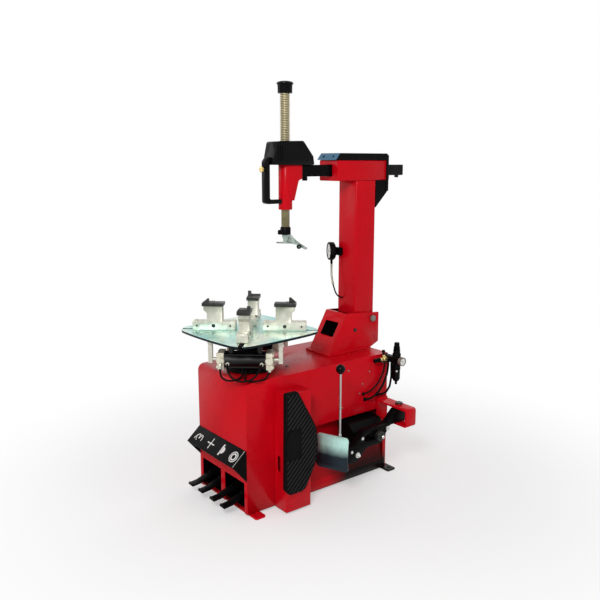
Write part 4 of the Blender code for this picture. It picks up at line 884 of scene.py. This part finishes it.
def bead_pad():
    """Rubber pad: bowed plate with slanting ribs and a plain field at the front."""
    front = -0.03
    outline = pad_outline(front, 0.095, 0.535)
    inner, face, rib = 0.2753, 0.294, 0.003
    bm = bmesh.new()
    slab(bm, outline, SIDE_PLANE, inner, face)
    left, right, low, high = front + 0.005, 0.045, 0.252, 0.372
    field = rounded([(left, low), (right, low), (right, high), (left, high)], 2)
    slab(bm, field, SIDE_PLANE, face - 0.001, face + rib * 0.8)
    along, across = Vector((1, 1)).normalized(), Vector((-1, 1)).normalized()
    pitch, half_low, half_high, edge = 0.0165, 0.0044, 0.0022, 0.005
    centre, step, fewest = Vector((0.05, 0.31)), 0.002, 4
    around = [Vector((cos(t), sin(t))) * edge for t in (k * pi / 4 for k in range(8))]

    def inside(point):
        hit = False
        for a, b in zip(outline, outline[1:] + outline[:1]):
            if (a[1] > point.y) != (b[1] > point.y):
                hit ^= point.x < a[0] + (b[0] - a[0]) * (point.y - a[1]) / (b[1] - a[1])
        return hit and not (left < point.x < right and low < point.y < high)

    def add_rib(start, end):
        """One tapered rib, bevelled at its ends."""
        loops = []
        for half, shrink, height in (
                (half_low, 0, face - 0.001), (half_low, 0, face + 0.0004), (half_high, 0.002, face + rib)):
            a, b, wide = start + along * shrink, end - along * shrink, across * half
            corners = (a - wide, b - wide, b + wide, a + wide)
            loops.append([bm.verts.new(SIDE_PLANE @ Vector((*c, height))) for c in corners])
        bridge(bm, loops)

    for n in range(-30, 31):
        run = []
        for k in range(-170, 171):
            point = centre + across * (n * pitch) + along * (k * step)
            if all(inside(point + way) for way in around):
                run.append(point)
            else:
                if len(run) >= fewest:
                    add_rib(run[0], run[-1])
                run = []
    soften(piece("bead_pad_ribbed", bm, PAD_RUBBER, "base", "rubber", "bead_pad"), 0.0012)


def ribbon(points, half):
    """Outline of a stroke of even width along the points."""
    points = [Vector(p) for p in points]
    left, right = [], []
    for k, point in enumerate(points):
        back = (point - points[max(k - 1, 0)]).normalized()
        ahead = (points[min(k + 1, len(points) - 1)] - point).normalized()
        side = (back + ahead).normalized()
        side = Vector((-side.y, side.x)) * half
        left.append(tuple(point + side))
        right.append(tuple(point - side))
    return left + right[::-1]


def pictograms():
    """Four plain signs for the pedals on the hood: tilt, clamp, bead, turn, and a line beside them."""
    slope = Vector((0, 0.746, 0.666))
    out = Vector((0, -0.666, 0.746))
    low, high = -0.0002, 0.0004
    over = high + 0.0001
    tilt, clamp, bead, turn, line = [
        plane(at(x, -0.1503, 0.29) - slope * down, RIGHT, slope, out) for x, down in
        mm((-134, 45), (-36, 45), (56, 45), (143, 45), (179, 43.5))]
    wave = mm((-27, -16), (-15, 8), (-5, 15), (1, 5), (4, -10), (11, 10), (20, 13), (25, 0), (25, -13))
    strokes = (
        (rounded(wave, 2, closed=False), 0.0022, tilt, high), (mm((-22, 3), (-7, -20)), 0.0018, tilt, over),
        (mm((0, -25), (0, 25)), 0.0024, clamp, high), (mm((-26, 0), (26, 0)), 0.0024, clamp, over),
        (mm((-7, -26), (-7, 26)), 0.0045, bead, high), (mm((0, -40), (0, 40)), 0.0009, line, high))
    bm = bmesh.new()
    for points, half, place, top in strokes:
        slab(bm, ribbon(points, half), place, low, top)
    slab(bm, arc((-0.001, 0), 0.016, -QUARTER, QUARTER, 14), bead, low, high)
    for outer, inner in ((0.0245, 0.0205), (0.0165, 0.0105)):
        ring(bm, turn, outer, inner, low, high)
    piece("pedal_signs", bm, PRINT, "base", "dial")


# Dials
def dial(name, origin, facing, radius, last, body, bezel_finish):
    """White dial with ticks, numbers and a needle, behind a turned bezel."""
    place = plane(origin, UP.cross(facing).normalized(), UP, facing.normalized())
    low, high = 0.0003, 0.0006

    def sweep_to(share):
        """The way from the dial's middle to a share of its scale."""
        t = radians(225 - 270 * share)
        return Vector((cos(t), sin(t))) * radius

    disc = arc((0, 0), radius, 0, 2 * pi * 47 / 48, 47)
    group(name + "_face", WHITE, body, "dial", slab, [(disc, place, -0.0005, 0.0004)])
    bm = bmesh.new()
    for k in range(41):
        inner, half = (0.76, 0.022) if k % 5 == 0 else (0.86, 0.012)
        way = sweep_to(k / 40)
        slab(bm, ribbon([way * inner, way * 0.95], radius * half), place, low, high)
    ring(bm, place, radius * 0.965, radius * 0.945, low, high, 48)
    for k in range(0, 9, 2):
        spot = (*sweep_to(k / 8) * 0.58, low)
        number(bm, str(round(last * k / 8)), radius * 0.24, place @ Matrix.Translation(spot))
    way = sweep_to(0.3)
    tip, tail = way * 0.8, way * -0.22
    side = Vector((-tip.y, tip.x)).normalized() * radius * 0.045
    slab(bm, [tuple(tail - side), tuple(tip), tuple(tail + side)], place, 0.001, 0.0014)
    hub = [(radius * 0.09, low), (radius * 0.09, 0.0016), (radius * 0.05, 0.0021), (0, 0.0021)]
    lathe(bm, hub, origin, facing, 20)
    piece(name + "_marks", bm, BLACK, body, "black_plastic")
    bezel = [(radius * r, h) for r, h in (
        (0.985, -0.0004), (1.11, -0.0004), (1.13, 0.0012), (1.09, 0.0028), (1.03, 0.0032), (0.985, 0.0022))]
    group(name + "_bezel", bezel_finish, body, "chrome", lathe, [(bezel, origin, facing, 48, 0, 0, True)])


def number(bm, text, size, place):
    """Figures on a dial, as a thin mesh."""
    curve = given(
        bpy.data.curves.new("figures", "FONT"), body=text, size=size, align_x="CENTER", align_y="CENTER",
        extrude=0.0002, resolution_u=3)
    made = linked("figures", curve)
    bpy.context.view_layer.update()
    mesh = bpy.data.meshes.new_from_object(made.evaluated_get(bpy.context.evaluated_depsgraph_get()))
    bpy.data.objects.remove(made, do_unlink=True)
    mesh.transform(place)
    bm.from_mesh(mesh)


def inflation_dial():
    facing = Vector((-sin(GAUGE_TURN), -cos(GAUGE_TURN), 0))
    dial("inflation_dial", at(-0.068, 0.5337, 1.035) + facing * 0.0264, facing, 0.0365, 12, "column", BLACK)


def air_dial():
    """Dial of the air unit, in a metal case."""
    back = at(UNIT.x + 0.0263, UNIT.y - 0.009, UNIT.z)
    dial("air_dial", back + RIGHT * 0.0222, RIGHT, 0.0172, 16, "base", DULL_ZINC)
    case = mm((19.6, 8.5), (20.1, 11), (20.1, 23.2), (18.5, 23.6), (18, 22.5), (19.6, 10.5))
    group("air_dial_case", DULL_ZINC, "base", "chrome", lathe, [(case, back, RIGHT, 48, 0, 0, True)])


# Air unit
def air_unit():
    """Ribbed knob, quick coupling, brass tee, sight glass, bowl rings and screws of the air unit."""
    base = at(UNIT.x, UNIT.y, UNIT_TOP + 0.0003)
    skirt = mm((12.8, 0), (14.5, 3), (14.5, 11.5))
    knob = mm((12.7, 10.8), (13.4, 12.5), (12.2, 14.5), (12.2, 27), (11, 30.5), (8, 31.7), (0, 31.7))
    group("regulator_knob_ribbed", BLACK, "regulator", "black_plastic", lathe, [
        (skirt, base, UP, 120, 20, 0.0009), (knob, base, UP, 96, 16, 0.0006)], "regulator_knob")

    x, tee_y, z = 0.214, 0.594, UNIT.z
    coupling = mm((7.5, 0), (10.5, 1), (10.5, 14), (8.8, 16), (8.8, 26), (10, 28), (10, 34), (7, 36), (0, 36))
    valve = mm((5.2, 0), (5.2, 11), (7.8, 12), (7.8, 20), (6, 23), (0, 23))
    group("quick_coupling", BLACK, "base", "black_plastic", lathe, [
        (coupling, at(x, 0.5715, z), -BACK, 90, 30, 0.0004), (valve, at(x, tee_y, z + 0.0195), UP, 24)])
    branch = mm((6.4, -4), (6.4, 10), (8.8, 10.5), (8.8, 16.5), (6, 17.5), (6, 21.5))
    nut = mm((7, 0), (9.6, 0.6), (9.6, 7), (7, 7.6))
    group("brass_tee", BRASS, "base", "brass", lathe, [
        (branch, at(x, tee_y, z), UP, 6), (nut, at(x, 0.61, z), -BACK, 6)])

    facing = Vector((0.79, -0.61, 0))
    sight = mm((4.2, -1), (4.2, 1.4), (3.4, 2.2), (0, 2.4))
    group("bowl_sight", WHITE, "base", "dial", lathe, [
        (sight, at(UNIT.x, UNIT.y, 0.505) + facing * 0.0172, facing, 24)])
    band = mm((18.6, 0), (19.2, 0.6), (19.2, 1.8), (18.6, 2.4))
    grip = mm((20, 0), (20.6, 0.8), (20.6, 4.2), (20, 5))
    rings = [(band, at(UNIT.x, UNIT.y, 0.5215 - 0.004 * k), UP, 48) for k in range(4)]
    rings.append((grip, at(UNIT.x, UNIT.y, 0.5335), UP, 90, 30, 0.0005))
    group("bowl_rings", BLACK, "base", "black_plastic", lathe, rings)
    group("air_unit_screws", SILVER, "base", "zinc", pan_screw, [
        (at(HALF + 0.0063, 0.607, z), RIGHT, 0.0036) for z in (0.5355, 0.5665)])


# Bead breaker
def ball_knob():
    """Polished ball on a short collar."""
    low, high = [Vector(corner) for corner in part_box("ball_knob")]
    middle = (low + high) / 2
    r, centre = 0.02, Vector((middle.x, middle.y, 0.6))
    profile = mm((6.2, -21.2), (7.8, -20.5), (7.8, -18.6))
    profile += [(r * sin(t), -r * cos(t)) for t in (radians(24 + 6 * k) for k in range(26))]
    profile.append((0, r))
    group("ball_knob_polished", GLOSS_BLACK, "blade", "black_plastic", lathe, [
        (profile, centre, UP, 64)], "ball_knob")


def breaker_fasteners():
    """Bolts on the arm, screw in the rod's end, head of the pivot pin, bolts of the bracket."""
    bm = bmesh.new()
    for y, z, r, h in ((0.528, 0.268, 0.0085, 0.007), (0.347, 0.186, 0.01, 0.008)):
        hex_bolt(bm, at(ARM_FACE, y, z), RIGHT, r, h)
        stud = [(r * 0.55, h - 0.001), (r * 0.55, h + 0.005), (r * 0.4, h + 0.0065), (0, h + 0.0065)]
        lathe(bm, stud, at(ARM_FACE, y, z), RIGHT, 20)
    for y, z in ((0.3745, 0.256), (0.312, 0.208)):
        hex_bolt(bm, at(ARM_FACE, y, z), RIGHT, 0.0055, 0.0045)
    piece("arm_bolts", bm, SILVER, "breaker_arm", "zinc")
    group("rod_end_screw", SILVER, "breaker_rod", "zinc", pan_screw, [
        (at(ROD_END, 0.47, 0.25), RIGHT, 0.0075)])
    head = mm((18, -1), (18, 6.6), (15.8, 8.4), (0, 8.4))
    group("bead_pin_head", DARK_STEEL, "base", "dark_steel", lathe, [(head, at(ARM_X, 0.615, 0.36), UP, 6)])
    group("bracket_bolts", DARK_STEEL, "base", "dark_steel", hex_bolt, [
        (at(HALF + 0.0103, y, 0.259), RIGHT, 0.0065, 0.005) for y in (0.594, 0.628)])


# Turntable
def table_plate():
    """Plate with rounded tips, full sides and four open slots, its rim softened."""
    tip, radius, side, slot, slot_in = 0.2935, 0.065, 0.2345, 0.01, 0.075
    leave = radians(38)
    half = arc((tip - radius, 0), radius, asin(slot / radius), leave, 10)
    turn = Vector(half[-1])
    middle = Vector((side, side)) / sqrt(2)
    along = Vector((-sin(leave), cos(leave)))
    pull = turn + along * ((middle.x + middle.y - turn.x - turn.y) / (along.x + along.y))
    half += bend(turn, pull, middle, [k / 8 for k in range(1, 9)])
    quarter = arc((slot_in + slot, 0), slot, -QUARTER, -3 * QUARTER, 8)
    quarter += half + [(y, x) for x, y in half[-2::-1]]
    outline = []
    for c, s in ((1, 0), (0, 1), (-1, 0), (0, -1)):
        outline += [(c * x - s * y, s * x + c * y) for x, y in quarter]
    place = Matrix.Translation(AXIS) @ table_turn()
    made = group("table_plate_polished", TABLE_STEEL, "turntable", "polished_steel", slab, [
        (outline, place, TABLE_TOP - 0.012, TABLE_TOP)], "table_plate")
    soften(made, 0.0016)


def jaw_screws():
    """Socket screws in both sides of each jaw rail and a plate on each of its ends."""
    wide, long = 0.02, 0.007
    outline = [(-long, -wide), (long, -wide), (long, wide), (-long, wide)]
    for k in range(4):
        group(f"jaw_screws_{k + 1}", DARK_STEEL, f"jaw_{k + 1}", "dark_steel", socket_screw, [
            (on_table(x, side * 0.023, TABLE_TOP + 0.0185, k), table_turn(k) @ (side * BACK), r)
            for side in (-1, 1) for x, r in mm((80, 4.6), (152, 8), (224, 4.6))])
        places = [on_table(x, 0, TABLE_TOP + 0.0362, k) for x in (0.068, 0.2315)]
        group(f"jaw_rail_plates_{k + 1}", ZINC, f"jaw_{k + 1}", "zinc", slab, [
            (outline, Matrix.Translation(place) @ table_turn(k), -0.0006, 0.0022) for place in places])


def cylinder_fittings():
    """Round bosses and nuts on the clamp cylinders, hose fittings, bolts on the pedestal."""
    boss = mm((16.5, -1), (16.5, 4), (13.5, 7), (7, 7.5), (0, 7.5))
    nut = mm((6.2, -0.6), (6.2, 4.8), (5, 5.6), (0, 5.6))
    along, out = table_turn() @ RIGHT, table_turn() @ BACK
    turned = []
    for side, end in ((-1, -1), (-1, 1), (1, -1), (1, 1)):
        y = side * CYLINDER_OFFSET
        turned.append((boss, on_table(end * 0.1, y + side * 0.035, CYLINDER_Z + 0.002), side * out, 36))
        turned += [
            (nut, on_table(end * 0.113, y + dy, CYLINDER_Z + dz), end * along, 6)
            for dy in (-0.026, 0.026) for dz in (-0.026, 0.026)]
    group("cylinder_bosses", CREAM, "turntable", "light_alloy", lathe, turned)

    bm = bmesh.new()
    elbow = ((-0.1725, 0.642), (-0.182, 0.642), (-0.189, 0.64), (ELBOW_Y, 0.634), (ELBOW_Y, 0.628))
    sweep(bm, [on_table(ELBOW_X, y, z) for y, z in elbow], 0.0062, 16)
    collar(bm, 0.005, 0.0074, -0.002, 0.005, on_table(ELBOW_X, ELBOW_Y, 0.627), UP)
    stub = mm((6.8, 0), (6.8, 10), (7.8, 10.5), (7.8, 16.5), (4.5, 17.5))
    for end in (-1, 1):
        lathe(bm, stub, on_table(end * STUB_X, -0.164, STUB_Z), -out, 6)
        sweep(bm, [on_table(end * (STUB_X + reach), -0.16, STUB_Z) for reach in (0, 0.02)], 0.006, 12)
    collar(bm, 0.0045, 0.0072, -0.01, -0.001, on_table(NUT_X, NUT_Y, CAP_LOW), UP)
    for x, z in PORTS:
        collar(bm, 0.0045, 0.0074, -0.004, 0.006, on_table(x, -0.0545, z), -out)
    piece("hose_elbows", bm, ZINC, "turntable", "zinc")

    bm = bmesh.new()
    for x, y in arc((0, 0), 0.089, radians(30), radians(330), 5):
        hex_bolt(bm, at(x, y, CABINET_TOP + 0.0125), UP, 0.006, 0.0045)
    plug = mm((9.5, -0.4), (9.5, 1.2), (7, 2.4), (0, 2.4))
    lathe(bm, plug, at(0.081, 0.138, CABINET_TOP), sides=24)
    piece("pedestal_bolts", bm, DARK_STEEL, "base", "dark_steel")


# Column and cabinet fasteners
def base_fasteners():
    sides = (-1, 1)
    right = mm((488, 451.5), (470, 410), (365, 363.3), (401, 529.4), (531, 503))
    spots = [(at(HALF, y, z), RIGHT, 0.0042) for y, z in right]
    spots += [
        (at(-HALF - 0.0033, y, z), -RIGHT, 0.0048) for y in (-0.07, 0.25, 0.57) for z in (0.09, 0.5)]
    group("cabinet_screws", DULL_ZINC, "base", "zinc", pan_screw, spots)
    group("bracket_side_bolts", DARK_STEEL, "base", "dark_steel", hex_bolt, [
        (at(side * 0.074, 0.5428, 0.6752), side * RIGHT, 0.0075, 0.0055) for side in sides])
    spots = [(at(side * 0.066, y, 1.4715), side * RIGHT, 0.0042) for side in sides for y in (0.5, 0.68)]
    spots += [(at(x, 0.435, 1.4722), (0, -0.778, 0.628), 0.005) for x in (-0.034, 0.034)]
    group("arm_cover_screws", BLACK_STEEL, "column", "black_steel", pan_screw, spots)
    group("bar_end_bolt", DARK_STEEL, "arm", "dark_steel", hex_bolt, [
        (at(0, 0.866, 1.386), -UP, 0.01, 0.011)])
    group("head_cover_screws", BLACK_STEEL, "arm", "black_steel", pan_screw, [
        (at(side * 0.04, y, z), side * RIGHT, 0.0036)
        for side in sides for y, z in ((0.283, 1.455), (0.245, 1.52))])


studio()
table_hoses()
air_hoses()
gauge_hose()
dress_nodes()
return_spring()
shaft_cap()
lock_button()
mount_head()
pedal_tray()
bead_pad()
pictograms()
inflation_dial()
air_dial()
air_unit()
ball_knob()
breaker_fasteners()
table_plate()
jaw_screws()
cylinder_fittings()
base_fasteners()
